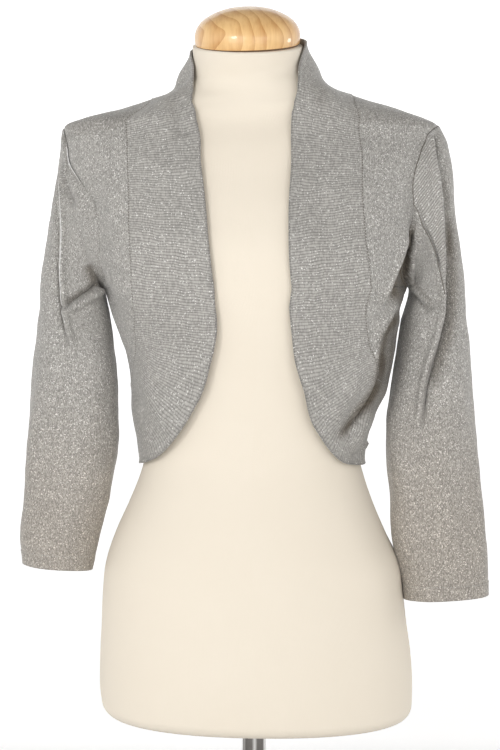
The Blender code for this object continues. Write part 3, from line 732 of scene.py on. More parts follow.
def route_distance(places, route):
    """Distance from a drawn line, positive on its right, and the share of its length."""
    route = np.array(route, float)
    lengths = np.linalg.norm(np.diff(route, axis=0), axis=1)
    starts = np.concatenate(([0], np.cumsum(lengths)))
    best = np.full(places.shape[:-1], 1e9)
    signed = np.zeros_like(best)
    share = np.zeros_like(best)
    for k, length in enumerate(lengths):
        line = (route[k + 1] - route[k]) / length
        away = places - route[k]
        along = away @ line
        gap = np.linalg.norm(away - np.clip(along, 0, length)[..., None] * line, axis=-1)
        nearer = gap < best
        best = np.where(nearer, gap, best)
        right = away[..., 0] * line[1] - away[..., 1] * line[0]
        signed = np.where(nearer, np.where(right < 0, -gap, gap), signed)
        beyond = np.where(k == 0, np.minimum(along, 0), 0) + np.where(
            k == len(lengths) - 1, np.maximum(along - length, 0), 0
        )
        share = np.where(nearer, (starts[k] + np.clip(along, 0, length) + beyond) / starts[-1], share)
    return signed, share


def drawn_total(table, piece, points, normals, facing_from, facing_to):
    """What the drawn lines of a table add up to at each point of a grid."""
    total = np.zeros(points.shape[:-1])
    for (where, side), lines in table.items():
        if where != piece:
            continue
        axis = np.array(SIDE_AXES[side], float)
        if side in ("outer", "inner"):
            axis = axis * np.sign(points[..., 0].mean())
        plane = (0, 2) if side in ("front", "back") else (1, 2)
        facing = smooth((normals @ axis - facing_from) / (facing_to - facing_from))
        for line in map(Drawn._make, lines):
            signed, share = route_distance(points[..., plane], line.route)
            reach = 0.0 if line.shape == "beside" else 0.5
            ends = smooth(share / CREASE_END + reach) * smooth((1 - share) / CREASE_END + reach)
            total += line.depth * PROFILES[line.shape](signed / line.width) * ends * facing
    return total


def crease_relief(piece, points, normals):
    """Stand-off that the drawn creases add to a grid of points."""
    return drawn_total(CREASES, piece, points, normals, FACING_FROM, FACING_TO)


def painted_cloth_shade(piece, points, normals):
    """Painted shade: how far the cloth's colour is darkened where it lies deep or turns from the light,
    from 0 to 1.
    """
    return np.clip(drawn_total(PAINTED_SHADES, piece, points, normals, SHADE_FROM, SHADE_TO), 0, 1)


WAVES_OF_EACH = 3


def unevenness(points, seed):
    """Slight slack of soft cloth, a few tenths of a millimetre."""
    rng = np.random.default_rng(seed)
    total = np.zeros(points.shape[:-1])
    for wavelength, amount in SLACK_WAVES:
        for _ in range(WAVES_OF_EACH):
            direction = rng.normal(size=3)
            direction /= np.linalg.norm(direction)
            phase = rng.uniform(0, 2 * np.pi)
            total += amount * np.sin(points @ direction * 2 * np.pi / wavelength + phase)
    return total / 2


def lengths_along(points, axis):
    """Running length along an axis of a grid."""
    steps = np.linalg.norm(np.diff(points, axis=axis), axis=-1)
    start = np.zeros_like(np.take(steps, [0], axis=axis))
    return np.concatenate((start, np.cumsum(steps, axis=axis)), axis=axis)


def deselect_all():
    for chosen in list(bpy.context.selected_objects):
        chosen.select_set(False)


def grid_corners(rows, columns, around=False):
    """The four corners of each face of a grid, as numbers of its points."""
    index = np.arange(rows * columns).reshape(rows, columns)
    if around:
        index = np.concatenate((index, index[:, :1]), axis=1)
    corners = (index[:-1, :-1], index[:-1, 1:], index[1:, 1:], index[1:, :-1])
    return np.stack(corners, axis=-1).reshape(-1, 4)


def slanted_map(places):
    """A map seen from the front and turned, for the knit that runs aslant."""
    angle = math.radians(SLANTED_HEAD_ANGLE)
    turn = np.array(((math.cos(angle), -math.sin(angle)), (math.sin(angle), math.cos(angle))))
    return places[:, (0, 2)] @ turn


def new_object(name, mesh, finish):
    """Sets a smooth mesh with its first material in the scene."""
    mesh.shade_smooth()
    mesh.materials.append(finish)
    made = bpy.data.objects.new(name, mesh)
    bpy.context.scene.collection.objects.link(made)
    return made


def object_from_grid(name, points, uv, finish, around=False, flip=False, slanted=None, **looks):
    """A cloth surface from a grid of points, with its own map in metres of flat cloth. slanted names
    the points whose faces are knit aslant, and looks give each point's painted warm light and painted
    shade."""
    faces = grid_corners(*points.shape[:2], around)
    places = grid_corners(*uv.shape[:2])
    if flip:
        faces = faces[:, ::-1]
        places = places[:, ::-1]
    mesh = bpy.data.meshes.new(name)
    mesh.from_pydata((points.reshape(-1, 3) * MM).tolist(), [], faces.tolist())
    flat = uv.reshape(-1, 2)[places.reshape(-1)] * MM
    if slanted is not None:
        chosen = slanted[:-1, :].reshape(-1)
        turned = slanted_map(points.reshape(-1, 3)[faces.reshape(-1)] * MM)
        flat = np.where(np.repeat(chosen, 4)[:, None], turned, flat)
    layer = mesh.uv_layers.new(name="cloth")
    layer.data.foreach_set("uv", flat.astype(np.float32).ravel())
    for label in ("warmth", "shade"):
        values = np.asarray(looks.get(label, np.zeros(points.shape[:2])), np.float32)
        mesh.attributes.new(label, "FLOAT", "POINT").data.foreach_set("value", values.ravel())
    made = new_object(name, mesh, finish)
    if slanted is not None:
        mesh.materials.append(knit_material("slanted knit"))
        mesh.polygons.foreach_set("material_index", chosen.astype(np.int32))
    return made


def place_piece(piece, slot, *nodes):
    """Finishes a piece: it rides on the one body and stands for its nodes. slot is not used."""
    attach(piece, "root")
    if nodes:
        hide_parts(*nodes)
    return piece


def cloth_piece(node, slot, finish, wall, around=False, **looks):
    """A panel's cloth on its grid, with painted shade in its folds and its wall outwards, as a piece."""
    points, flat, sign = body_grids()[node]
    shade = painted_cloth_shade(node if around else "body", points, sign * grid_normals(points, around))
    piece = object_from_grid(
        f"cloth_{node}", points, flat, knit_material(finish), around, sign < 0, shade=shade, **looks
    )
    made = piece.modifiers.new("wall", "SOLIDIFY")
    made.thickness = wall
    made.offset = 1
    made.use_even_offset = False
    return place_piece(piece, slot, node)


def length_tables():
    """Cloth lengths round the body from the front centre and up it, at each turn and height."""
    tables = {}
    for side, sign in SIGN.items():
        points = section(*np.meshgrid(sign * TABLE_TURNS, TABLE_HEIGHTS))
        tables[side] = (lengths_along(points, 1), lengths_along(points, 0))
    return tables


TURN_STEP = 2
HEIGHT_STEP = 5
TABLE_TURNS = np.arange(0, 181, TURN_STEP)
TABLE_HEIGHTS = np.arange(470, 946, HEIGHT_STEP)
LENGTHS = length_tables()


def flat_place(side, turn, height):
    """Where a place on the body lies on the flat cloth: length round and length up."""
    column = np.clip((turn - TABLE_TURNS[0]) / TURN_STEP, 0, len(TABLE_TURNS) - 1.001)
    row = np.clip((height - TABLE_HEIGHTS[0]) / HEIGHT_STEP, 0, len(TABLE_HEIGHTS) - 1.001)
    c, r = column.astype(int), row.astype(int)
    found = []
    for table in LENGTHS[side]:
        low = mix(table[r, c], table[r, c + 1], column - c)
        high = mix(table[r + 1, c], table[r + 1, c + 1], column - c)
        found.append(mix(low, high, row - r))
    return np.stack(found, axis=-1)


def dressed(turn, height, stand_off, sign):
    """Points of a body panel's inside, with its creases, kept clear of the form."""
    points = cloth_points(turn, height, stand_off)
    normals = sign * grid_normals(points)
    clear = ((points - section(turn, height, dressed=False)) * normals).sum(axis=-1)
    relief = crease_relief("body", points, normals) + unevenness(points, BODY_SEED)
    return points + normals * np.maximum(relief, CLEAR_OF_FORM - clear)[..., None]


def front_grid(side):
    """Right or left front, from the band's seam to the side seam and armhole, low corner first."""
    stations, turns, heights = front_rows(side)
    seam_turn, seam_height, _ = band_place(side, stations, 0.0)
    share = np.linspace(0, 1, FRONT_COLUMNS + 1)
    turn = mix(seam_turn[:, None], turns[:, None], share)
    height = mix(seam_height[:, None], heights[:, None], share)
    points = dressed(SIGN[side] * turn, height, 0.0, SIGN[side])
    flat = flat_place(side, turn, height)
    flat[..., 0] = flat_place(side, turn, np.maximum(height, WALES_FROM))[..., 0]
    return points, flat * (SIGN[side], 1)


def band_grid(side):
    """Band from the centre of the back neck to the side seam, seam to free edge."""
    station = np.linspace(0, LAST_STATION, BAND_STATIONS + 1)[:, None]
    across = np.linspace(0, 1, BAND_COLUMNS_ACROSS + 1)
    turn, height, stand_off = band_place(side, station, across)
    points = dressed(SIGN[side] * turn, height, stand_off, SIGN[side])
    along = lengths_along(points, 0)[:, BAND_COLUMNS_ACROSS // 2]
    flat = np.stack(np.broadcast_arrays(lengths_along(points, 1), along[:, None]), axis=-1)
    return points, flat


def back_grid():
    """Back in one piece, from the left side seam round to the right one, hem first."""
    hem = np.linspace(0, BACK_HEM_SHARE, BACK_HEM_ROWS, endpoint=False)
    side_share = np.arange(1, SIDE_ROWS) / SIDE_ROWS * CAD_SIDE_ROWS
    armhole_share = np.arange(ARMHOLE_ROWS + 1) / ARMHOLE_ROWS * CAD_ARMHOLE_ROWS
    first_armhole_row = BACK_HEM_SHARE + CAD_SIDE_ROWS
    row_number = np.concatenate((hem, BACK_HEM_SHARE + side_share, first_armhole_row + armhole_share))
    rise = smooth((row_number - row_number[-1] + BACK_RISE_ROWS) / BACK_RISE_ROWS)[:, None]
    column = np.concatenate(
        (
            np.linspace(0, CAD_SHOULDER_COLUMNS, BACK_SHOULDER_COLUMNS, endpoint=False),
            np.linspace(CAD_SHOULDER_COLUMNS, CAD_BACK_COLUMNS, BACK_NECK_COLUMNS + 1),
        )
    )
    share = column / CAD_BACK_COLUMNS
    halves = {}
    for side in SIGN:
        hem_turn, hem_height, _ = band_place(side, float(LAST_STATION), 1 - hem / BACK_HEM_SHARE)
        _, side_turns, side_heights = front_rows(side)
        heights = armhole_heights(side)
        turns = ARMHOLE_CURVES[side].read("back_turn", heights)
        edge_turn = np.concatenate((hem_turn, side_turns[1:SIDE_ROWS], turns))
        edge_height = np.concatenate((hem_height, side_heights[1:SIDE_ROWS], heights))
        tip, top = heights[-1], BANDS[side][SHOULDER_STATION][1]
        station = SHOULDER_STATION * np.clip(
            (CAD_BACK_COLUMNS - column) / (CAD_BACK_COLUMNS - CAD_SHOULDER_COLUMNS), 0, 1
        )
        neck_turn, neck_height, _ = band_place(side, station, 0.0)
        on_shoulder = column < CAD_SHOULDER_COLUMNS
        top_turn = np.where(on_shoulder, 90, neck_turn)
        top_height = np.where(on_shoulder, mix(tip, top, column / CAD_SHOULDER_COLUMNS), neck_height)
        turn = mix(edge_turn[:, None], 180, share) + (top_turn - mix(90, 180, share)) * rise
        height = edge_height[:, None] + (top_height - tip) * rise
        halves[side] = (turn, height)
    middle = (halves["left"][1][:, -1:] + halves["right"][1][:, -1:]) / 2
    for turn, height in halves.values():
        height += (middle - height[:, -1:]) * share**3
    flat = {}
    for side, (turn, height) in halves.items():
        place = flat_place(side, turn, height)
        above = np.maximum(height, WALES_FROM)
        middle_back = np.full_like(height, 180)
        across = (flat_place(side, turn, above) - flat_place(side, middle_back, above))[..., 0]
        flat[side] = np.stack((across * SIGN[side], place[..., 1]), axis=-1)
    turn = np.concatenate((halves["left"][0], 360 - halves["right"][0][:, -2::-1]), axis=1)
    height = np.concatenate((halves["left"][1], halves["right"][1][:, -2::-1]), axis=1)
    points = dressed(turn, height, 0.0, 1)
    return points, np.concatenate((flat["left"], flat["right"][:, -2::-1]), axis=1)


def sleeve_rings(side, rows, turns):
    """Rings of a sleeve's inside, each in the plane between its outer and inner edge."""
    read = SLEEVE_CURVES[side].read
    outer = np.stack((read("outer_x", rows), read("outer_z", rows)), axis=-1)
    inner = np.stack((read("inner_x", rows), read("inner_z", rows)), axis=-1)
    middle = (outer + inner) / 2
    half_across = (outer - inner) / 2
    half_across *= 1 - KNIT_WALL_MM / np.linalg.norm(half_across, axis=-1, keepdims=True)
    half_depth = read("half_depth", rows) - KNIT_WALL_MM
    cosine, sine = np.cos(np.radians(turns)), np.sin(np.radians(turns))
    head = np.where(cosine > 0, *HEAD_SQUARENESS[side])
    power = 2 / mix(head, SLEEVE_SQUARENESS, smooth(rows / HEAD_ROWS)[:, None])
    across = np.sign(cosine) * np.abs(cosine) ** power
    along = np.sign(sine) * np.abs(sine) ** power
    x = middle[:, :1] + half_across[:, :1] * across
    z = middle[:, 1:] + half_across[:, 1:] * across
    y = -read("forward", rows)[:, None] - half_depth[:, None] * along
    return np.stack((SIGN[side] * x, y, z), axis=-1)


def sleeve_start(side, front, back):
    """The sleeve's first ring, just clear of the armhole's edge, and its outward direction."""
    front_edge = front[SIDE_ROWS:, -1][::-1]
    back_column = 0 if side == "left" else -1
    back_edge = back[-(ARMHOLE_ROWS + 1) :, back_column][1:-1]
    ring = np.concatenate((front_edge, back_edge))
    out = np.array((SIGN[side], 0, 0))
    front_facing = SIGN[side] * grid_normals(front)[SIDE_ROWS:, -1][::-1]
    back_facing = grid_normals(back)[-(ARMHOLE_ROWS + 1) :, back_column][1:-1]
    facing = np.concatenate((front_facing, back_facing))
    clear = SEAM_GAP * SEAM_SLANT + KNIT_WALL_MM * np.maximum(facing @ out, 0)
    return ring + out * clear[:, None]


RISE_FACING = 0.4


def sleeve_grid(side, front, back):
    """Sleeve from the armhole to the cuff, with its columns starting at the underarm seam."""
    sign = SIGN[side]
    start = sleeve_start(side, front, back)
    turns = 360 * np.arange(SLEEVE_AROUND) / SLEEVE_AROUND
    first = sleeve_rings(side, np.array([0.0]), turns)[0]
    toward = unit(first - start)
    lift = SLEEVE_SEAM_RISE[side] * smooth(toward[:, 2] / RISE_FACING + 0.5)
    raised = start + np.array((sign * SLEEVE_SEAM_OUT, 0, 0)) + toward * SLEEVE_SEAM_ALONG
    raised[:, 2] += lift
    last = len(SLEEVES[side]) - 1
    rows = np.linspace(0, last, last * SLEEVE_STEPS + 1)
    keep = np.maximum(1 - rows / SLEEVE_BLEND_ROWS, 0) ** 2 * SLEEVE_BLEND_SHARE
    rings = sleeve_rings(side, rows, turns) + (raised - first) * keep[:, None, None]
    step = np.linspace(0, 1, SLEEVE_HEAD_ROWS + 1)[1:-1, None, None]
    ahead = (rings[1] - rings[0]) * SLEEVE_STEPS * HEAD_LEAD
    head = cubic(step, raised, rings[0] - raised, rings[0], ahead)
    near = np.stack((start, mix(start, raised, 0.5), raised))
    points = np.concatenate((near, head, rings))
    points = np.roll(points, ARMHOLE_ROWS, axis=1)
    normals = sign * grid_normals(points, around=True)
    run = lengths_along(points, 0)
    from_cuff = run[-1:] - run
    relief = crease_relief(f"sleeve_{side}", points, normals) * smooth(run / CREASE_FADE)
    relief += unevenness(points, SLEEVE_SEEDS[side]) * smooth(run / SLEEVE_FADE)
    relief += CUFF_HEM_RISE * smooth((CUFF_HEM - from_cuff) / 2 + 0.5)
    relief -= CUFF_DIP * np.exp(-(((from_cuff - CUFF_HEM) / CUFF_GROOVE) ** 2))
    wave = np.sin(np.radians(3 * turns + CUFF_WAVE_TURN))
    relief += CUFF_WAVE * wave * smooth(1 - from_cuff / CUFF_WAVE_REACH)
    points = points + normals * relief[..., None]
    closed = np.concatenate((points, points[:, :1]), axis=1)
    around = lengths_along(closed, 1)
    across = around - around[:, ARMHOLE_ROWS : ARMHOLE_ROWS + 1]
    from_cuff = np.concatenate((from_cuff, from_cuff[:, :1]), axis=1)
    return points, np.stack((across * -sign, -from_cuff), axis=-1)


NOISE_SPREAD = (0.3, 0.7)


class Nodes:
    """Short calls for building one node tree."""

    def __init__(self, tree):
        self.tree = tree

    def add(self, kind, feeds=None, **settings):
        made = self.tree.nodes.new(kind)
        for name, value in settings.items():
            setattr(made, name, value)
        for name, value in (feeds or {}).items():
            self.feed(made.inputs[name], value)
        return made

    def feed(self, socket, value):
        if isinstance(value, bpy.types.NodeSocket):
            self.tree.links.new(value, socket)
        else:
            socket.default_value = value

    def math(self, operation, a, b=0.0, clamp=False):
        made = self.tree.nodes.new("ShaderNodeMath")
        made.operation = operation
        made.use_clamp = clamp
        self.feed(made.inputs[0], a)
        self.feed(made.inputs[1], b)
        return made.outputs[0]

    def plus(self, a, b, clamp=False):
        return self.math("ADD", a, b, clamp)

    def times(self, a, b, clamp=False):
        return self.math("MULTIPLY", a, b, clamp)

    def hump(self, value):
        """Rises and falls once over each whole step of a value."""
        return self.math("SINE", self.times(self.math("FRACT", value), math.pi))

    def blend(self, share, a, b, kind="MIX"):
        made = self.tree.nodes.new("ShaderNodeMix")
        made.data_type = "RGBA"
        made.blend_type = kind
        self.feed(made.inputs[0], share)
        self.feed(made.inputs[6], a)
        self.feed(made.inputs[7], b)
        return made.outputs[2]

    def noise(self, place, scale, detail=2.0):
        feeds = {"Vector": place, "Scale": scale, "Detail": detail}
        return self.add("ShaderNodeTexNoise", feeds).outputs["Fac"]

    def cloud(self, place, scale, low, high, detail=2.0):
        """Noise that mostly lies between two values."""
        return self.spread(self.noise(place, scale, detail), *NOISE_SPREAD, low, high)

    def spread(self, value, low, high, to_low=0.0, to_high=1.0):
        feeds = {"Value": value, "From Min": low, "From Max": high, "To Min": to_low, "To Max": to_high}
        return self.add("ShaderNodeMapRange", feeds).outputs["Result"]

    def place(self, x, y):
        return self.add("ShaderNodeCombineXYZ", {"X": x, "Y": y}).outputs[0]

    def split(self, vector):
        return self.add("ShaderNodeSeparateXYZ", {"Vector": vector}).outputs

    def scaled(self, vector, scale):
        return self.add("ShaderNodeMapping", {"Vector": vector, "Scale": scale}).outputs[0]

    def random(self, place):
        made = self.add("ShaderNodeTexWhiteNoise", {"Vector": place}, noise_dimensions="2D")
        return made.outputs["Value"]

    def grey(self, tone):
        return self.add("ShaderNodeCombineColor", {"Red": tone, "Green": tone, "Blue": tone}).outputs[0]

    def cloth_map(self):
        return self.add("ShaderNodeUVMap", uv_map="cloth").outputs["UV"]

    def object_place(self):
        return self.add("ShaderNodeTexCoord").outputs["Object"]

    def attribute(self, name):
        return self.add("ShaderNodeAttribute", attribute_name=name).outputs["Fac"]

    def group(self, tree, feeds):
        """Places a node group, feeds its inputs by name and gives its outputs."""
        return self.add("ShaderNodeGroup", feeds, node_tree=tree).outputs


SOCKETS = {"value": "NodeSocketFloat", "colour": "NodeSocketColor", "vector": "NodeSocketVector"}


def new_group(name, inputs, outputs):
    """An empty node group with named sockets of the kinds given."""
    tree = bpy.data.node_groups.new(name, "ShaderNodeTree")
    for label, kind in inputs.items():
        tree.interface.new_socket(label, in_out="INPUT", socket_type=SOCKETS[kind])
    for label, kind in outputs.items():
        tree.interface.new_socket(label, in_out="OUTPUT", socket_type=SOCKETS[kind])
    nodes = Nodes(tree)
    return nodes, nodes.add("NodeGroupInput").outputs, nodes.add("NodeGroupOutput").inputs


KNIT_INPUTS = {
    "Place": "vector",
    "Leg": "value",
    "Course": "value",
    "Wale Relief": "value",
    "Leg Relief": "value",
    "Course Relief": "value",
    "Slant": "value",
    "Uneven": "value",
    "Glitter": "value",
    "Light": "colour",
    "Dark": "colour",
}
KNIT_OUTPUTS = {"Color": "colour", "Roughness": "value", "Metallic": "value", "Height": "value"}
PLAIN_OUTPUTS = {"Color": "colour", "Height": "value"}
PAINTED_GLINT_AND_SILVER_COLOUR = (0.95, 0.94, 0.91, 1)
PAINTED_REFLECTION_COLOUR = (0.95, 0.94, 0.92, 1)
GLINT_SHARE = 0.7
FLECKS_PER_METRE = 1100.0
LEGS_PER_WALE = 3.0
LEG_WAVER = 0.3
COURSE_SWAY = 0.4


def two_tone_inputs(size):
    """Inputs of a material in two colours with one named size."""
    return {"Place": "vector", size: "value", "Light": "colour", "Dark": "colour"}


def glitter_knit_group():
    """Fine knit from a flat map: rows of short slanting yarn legs, with a metallic yarn run in whose
    near-white flecks are partly its silver and partly painted glint.
    """
    found = bpy.data.node_groups.get("glitter knit")
    if found:
        return found
    nodes, given, out = new_group("glitter knit", KNIT_INPUTS, KNIT_OUTPUTS)
    place = given["Place"]
    split = nodes.split(place)
    waver = nodes.cloud(place, 60.0, -LEG_WAVER, LEG_WAVER)
    sway = nodes.cloud(place, 45.0, -COURSE_SWAY, COURSE_SWAY, 1.0)
    leg = nodes.plus(nodes.math("DIVIDE", split["X"], given["Leg"]), waver)
    course = nodes.plus(nodes.math("DIVIDE", split["Y"], given["Course"]), sway)
    slanted = nodes.plus(course, nodes.times(nodes.math("PINGPONG", leg, 1.0), given["Slant"]))
    relief = nodes.plus(
        nodes.times(nodes.hump(leg), given["Leg Relief"]),
        nodes.times(nodes.hump(slanted), given["Course Relief"]),
    )
    wale = nodes.hump(nodes.math("DIVIDE", leg, LEGS_PER_WALE))
    relief = nodes.plus(relief, nodes.times(wale, given["Wale Relief"]))
    yarn = nodes.random(nodes.place(nodes.math("FLOOR", leg), nodes.math("FLOOR", slanted)))
    fleck = {0: place, "Scale": FLECKS_PER_METRE}
    fleck = nodes.add("ShaderNodeVectorMath", fleck, operation="SCALE").outputs[0]
    fleck = nodes.add("ShaderNodeVectorMath", {0: fleck}, operation="FLOOR").outputs[0]
    glint = nodes.math("LESS_THAN", nodes.random(fleck), given["Glitter"])
    uneven = nodes.times(nodes.math("SUBTRACT", yarn, 0.5), given["Uneven"])
    colour = nodes.blend(nodes.plus(relief, uneven, clamp=True), given["Dark"], given["Light"])
    cloud = nodes.cloud(place, 24.0, 0.975, 1.025, 3.0)
    colour = nodes.blend(1.0, colour, nodes.grey(cloud), "MULTIPLY")
    # Flecks turn near white: the metallic yarn's silver and also a painted glint.
    nodes.feed(out["Color"], nodes.blend(nodes.times(glint, GLINT_SHARE), colour, PAINTED_GLINT_AND_SILVER_COLOUR))
    nodes.feed(out["Roughness"], nodes.spread(glint, 0.0, 1.0, 0.6, 0.45))
    nodes.feed(out["Metallic"], nodes.spread(glint, 0.0, 1.0, 0.08, 0.4))
    nodes.feed(out["Height"], relief)
    return nodes.tree


def jersey_group():
    """Fine smooth jersey: tiny wales, fuzz and slight cloudiness."""
    nodes, given, out = new_group("fine jersey", two_tone_inputs("Wale"), PLAIN_OUTPUTS)
    place = given["Place"]
    ribs = []
    for part in ("X", "Y"):
        stitch = nodes.math("DIVIDE", nodes.split(place)[part], given["Wale"])
        ribs.append(nodes.math("COSINE", nodes.times(stitch, 2 * math.pi)))
    fuzz = nodes.noise(place, 900.0)
    relief = nodes.plus(nodes.plus(nodes.times(ribs[0], 0.3), nodes.times(ribs[1], 0.15)), fuzz)
    cloud = nodes.cloud(place, 9.0, 0.0, 0.5, 3.0)
    mixed = nodes.plus(cloud, nodes.spread(fuzz, 0.2, 0.8, 0.0, 0.5))
    nodes.feed(out["Color"], nodes.blend(mixed, given["Dark"], given["Light"]))
    nodes.feed(out["Height"], relief)
    return nodes.tree


PINE_DRIFT = 0.009
PINE_BOW = 13.0


def pine_group():
    """Pine grain: curved growth bands cut along the wood, fine pores and darker late wood."""
    nodes, given, out = new_group("pine grain", two_tone_inputs("Ring"), PLAIN_OUTPUTS)
    place = given["Place"]
    split = nodes.split(place)
    drift = nodes.cloud(place, 14.0, -PINE_DRIFT, PINE_DRIFT)
    bowed = nodes.plus(split["X"], nodes.times(nodes.math("POWER", split["Z"], 2.0), PINE_BOW))
    radius = nodes.plus(nodes.plus(bowed, nodes.times(split["Y"], 0.25)), drift)
    phase = nodes.math("FRACT", nodes.math("DIVIDE", radius, given["Ring"]))
    late = nodes.times(nodes.math("POWER", phase, 2.6), 0.65)
    fibre = nodes.noise(nodes.scaled(place, (420.0, 160.0, 34.0)), 1.0, 3.0)
    broad = nodes.spread(nodes.noise(place, 30.0), 0.35, 0.7, -0.1, 0.2)
    dark = nodes.plus(late, nodes.spread(fibre, 0.35, 0.75, 0.0, 0.3))
    dark = nodes.plus(dark, broad, clamp=True)
    nodes.feed(out["Color"], nodes.blend(dark, given["Light"], given["Dark"]))
    nodes.feed(out["Height"], fibre)
    return nodes.tree


TURNING_LINES = (12.0, 12.0, 900.0)
# Painted reflections: this many light streaks round the pole.
STREAKS_AROUND = 6.0


def steel_group():
    """Bright steel with faint turning lines and smudges, and painted reflections: light streaks round the
    pole, brighter on one side.
    """
    found = bpy.data.node_groups.get("bright steel")
    if found:
        return found
    outputs = {"Color": "colour", "Roughness": "value", "Height": "value"}
    nodes, given, out = new_group("bright steel", two_tone_inputs("Streak"), outputs)
    place = given["Place"]
    split = nodes.split(place)
    turn = nodes.plus(nodes.math("ARCTAN2", split["Y"], split["X"]), math.pi / 2 - 0.05)
    streak = nodes.math("MAXIMUM", nodes.math("COSINE", nodes.times(turn, STREAKS_AROUND)), 0.0)
    # The painted reflections are lighter on one side, as if lit from there.
    lit = nodes.spread(nodes.math("COSINE", nodes.plus(turn, -0.9)), -1.0, 1.0, 0.1, 1.0)
    streak = nodes.times(nodes.math("POWER", streak, 2.0), lit)
    smudge = nodes.noise(place, 22.0, 4.0)
    colour = nodes.blend(nodes.spread(smudge, 0.35, 0.7), given["Light"], given["Dark"])
    streak = nodes.times(streak, given["Streak"], clamp=True)
    nodes.feed(out["Color"], nodes.blend(streak, colour, PAINTED_REFLECTION_COLOUR))
    nodes.feed(out["Roughness"], nodes.spread(smudge, 0.35, 0.7, 0.07, 0.15))
    nodes.feed(out["Height"], nodes.noise(nodes.scaled(place, TURNING_LINES), 1.0))
    return nodes.tree


def new_material(name, **constants):
    """A material with its shader; constants are set straight on the shader's sockets."""
    made = bpy.data.materials.new(name)
    made.use_nodes = True
    nodes = Nodes(made.node_tree)
    shader = made.node_tree.nodes["Principled BSDF"]
    for label, value in constants.items():
        shader.inputs[label.replace("_", " ")].default_value = value
    return made, nodes, shader


def bump(nodes, shader, height, distance, strength):
    made = nodes.add("ShaderNodeBump", {"Height": height, "Distance": distance, "Strength": strength})
    nodes.feed(shader.inputs["Normal"], made.outputs["Normal"])


def rgba(colour, dim=1.0):
    return (*(part * dim for part in colour), 1.0)


Knit = namedtuple(
    "Knit",
    ("leg", "course", "wale_relief", "leg_relief", "course_relief", "slant", "uneven", "dim", "glitter"),
)
KNITS = {
    "panel knit": Knit(0.00085, 0.0012, 0.12, 0.3, 0.28, 0.8, 0.95, 1.0, 1.0),
    "slanted knit": Knit(0.0011, 0.0025, 0.0, 0.1, 1.7, 0.0, 0.35, 0.8, 1.1),
    "band knit": Knit(0.0012, 0.00285, 0.0, 0.26, 0.62, 0.0, 0.55, 0.9, 0.5),
    # The band edge's lower dim is painted shade of the edge's shadowed underside.
    "band edge painted shade": Knit(0.0012, 0.00285, 0.0, 0.26, 0.62, 0.0, 0.55, 0.68, 0.5),
}


def knit_material(name):
    """Glitter knit on a piece's own flat map, tinted by each point's painted warm light and painted
    shade. dim darkens the yarn as a whole; the band edge's lower dim is painted shade of its underside.
    """
    found = bpy.data.materials.get(name)
    if found:
        return found
    size = KNITS[name]
    knit = bpy.context.scene.bolero_knit
    made, nodes, shader = new_material(
        name, Sheen_Weight=0.3, Sheen_Roughness=0.45, Specular_IOR_Level=0.3
    )
    cloth = nodes.group(glitter_knit_group(), {
        "Place": nodes.cloth_map(),
        "Leg": size.leg * knit.gauge,
        "Course": size.course * knit.gauge,
        "Wale Relief": size.wale_relief,
        "Leg Relief": size.leg_relief,
        "Course Relief": size.course_relief,
        "Slant": size.slant,
        "Uneven": size.uneven,
        "Glitter": knit.glitter * size.glitter,
        "Light": rgba(knit.light_yarn, size.dim),
        "Dark": rgba(knit.dark_yarn, size.dim),
    })
    colour = cloth["Color"]
    # Painted warm light and painted shade, read from each point, tint and darken the knit's colour.
    for label, tint in (("warmth", knit.painted_warm_tint), ("shade", knit.painted_shade_tint)):
        colour = nodes.blend(nodes.attribute(label), colour, rgba(tint), "MULTIPLY")
    nodes.feed(shader.inputs["Base Color"], colour)
    nodes.feed(shader.inputs["Roughness"], cloth["Roughness"])
    nodes.feed(shader.inputs["Metallic"], cloth["Metallic"])
    bump(nodes, shader, cloth["Height"], 0.0005, 0.7)
    return made


THREAD_TWIST = 900.0


def thread_material(name, colour, metallic):
    """Sewing yarn: twisted along the piece's own map."""
    made, nodes, shader = new_material(name, Metallic=metallic, Sheen_Weight=0.1)
    place = nodes.cloth_map()
    split = nodes.split(place)
    spiral = nodes.times(nodes.plus(split["X"], split["Y"]), THREAD_TWIST)
    twist = nodes.spread(nodes.math("SINE", spiral), -1.0, 1.0)
    shade = nodes.times(nodes.noise(place, 300.0), 0.5)
    shade = nodes.plus(shade, nodes.times(twist, 0.5), clamp=True)
    nodes.feed(shader.inputs["Base Color"], nodes.blend(shade, rgba(colour, 0.6), rgba(colour)))
    nodes.feed(shader.inputs["Roughness"], nodes.spread(shade, 0.0, 1.0, 0.65, 0.4))
    bump(nodes, shader, twist, 0.0003, 0.6)
    return made


def jersey_material():
    """Cream jersey of the form's cover."""
    made, nodes, shader = new_material(
        "cream jersey", Roughness=0.85, Sheen_Weight=0.15, Specular_IOR_Level=0.2
    )
    form = bpy.context.scene.bolero_form
    cover = nodes.group(jersey_group(), {
        "Place": nodes.cloth_map(),
        "Wale": form.jersey_wale,
        "Light": rgba(form.jersey_light),
        "Dark": rgba(form.jersey_dark),
    })
    nodes.feed(shader.inputs["Base Color"], cover["Color"])
    bump(nodes, shader, cover["Height"], 0.0002, 0.5)
    return made


def pine_material():
    """Pale pine under clear varnish."""
    made, nodes, shader = new_material(
        "varnished pine", Roughness=0.4, Coat_Weight=0.65, Coat_Roughness=0.035, Coat_IOR=1.5
    )
    form = bpy.context.scene.bolero_form
    feeds = {"Vector": nodes.object_place(), "Location": (0.0, 0.0, -FORM_TOP * MM)}
    wood = nodes.group(pine_group(), {
        "Place": nodes.add("ShaderNodeMapping", feeds).outputs[0],
        "Ring": form.grain_ring,
        "Light": rgba(form.wood_light),
        "Dark": rgba(form.wood_dark),
    })
    nodes.feed(shader.inputs["Base Color"], wood["Color"])
    bump(nodes, shader, wood["Height"], 0.0001, 0.25)
    return made


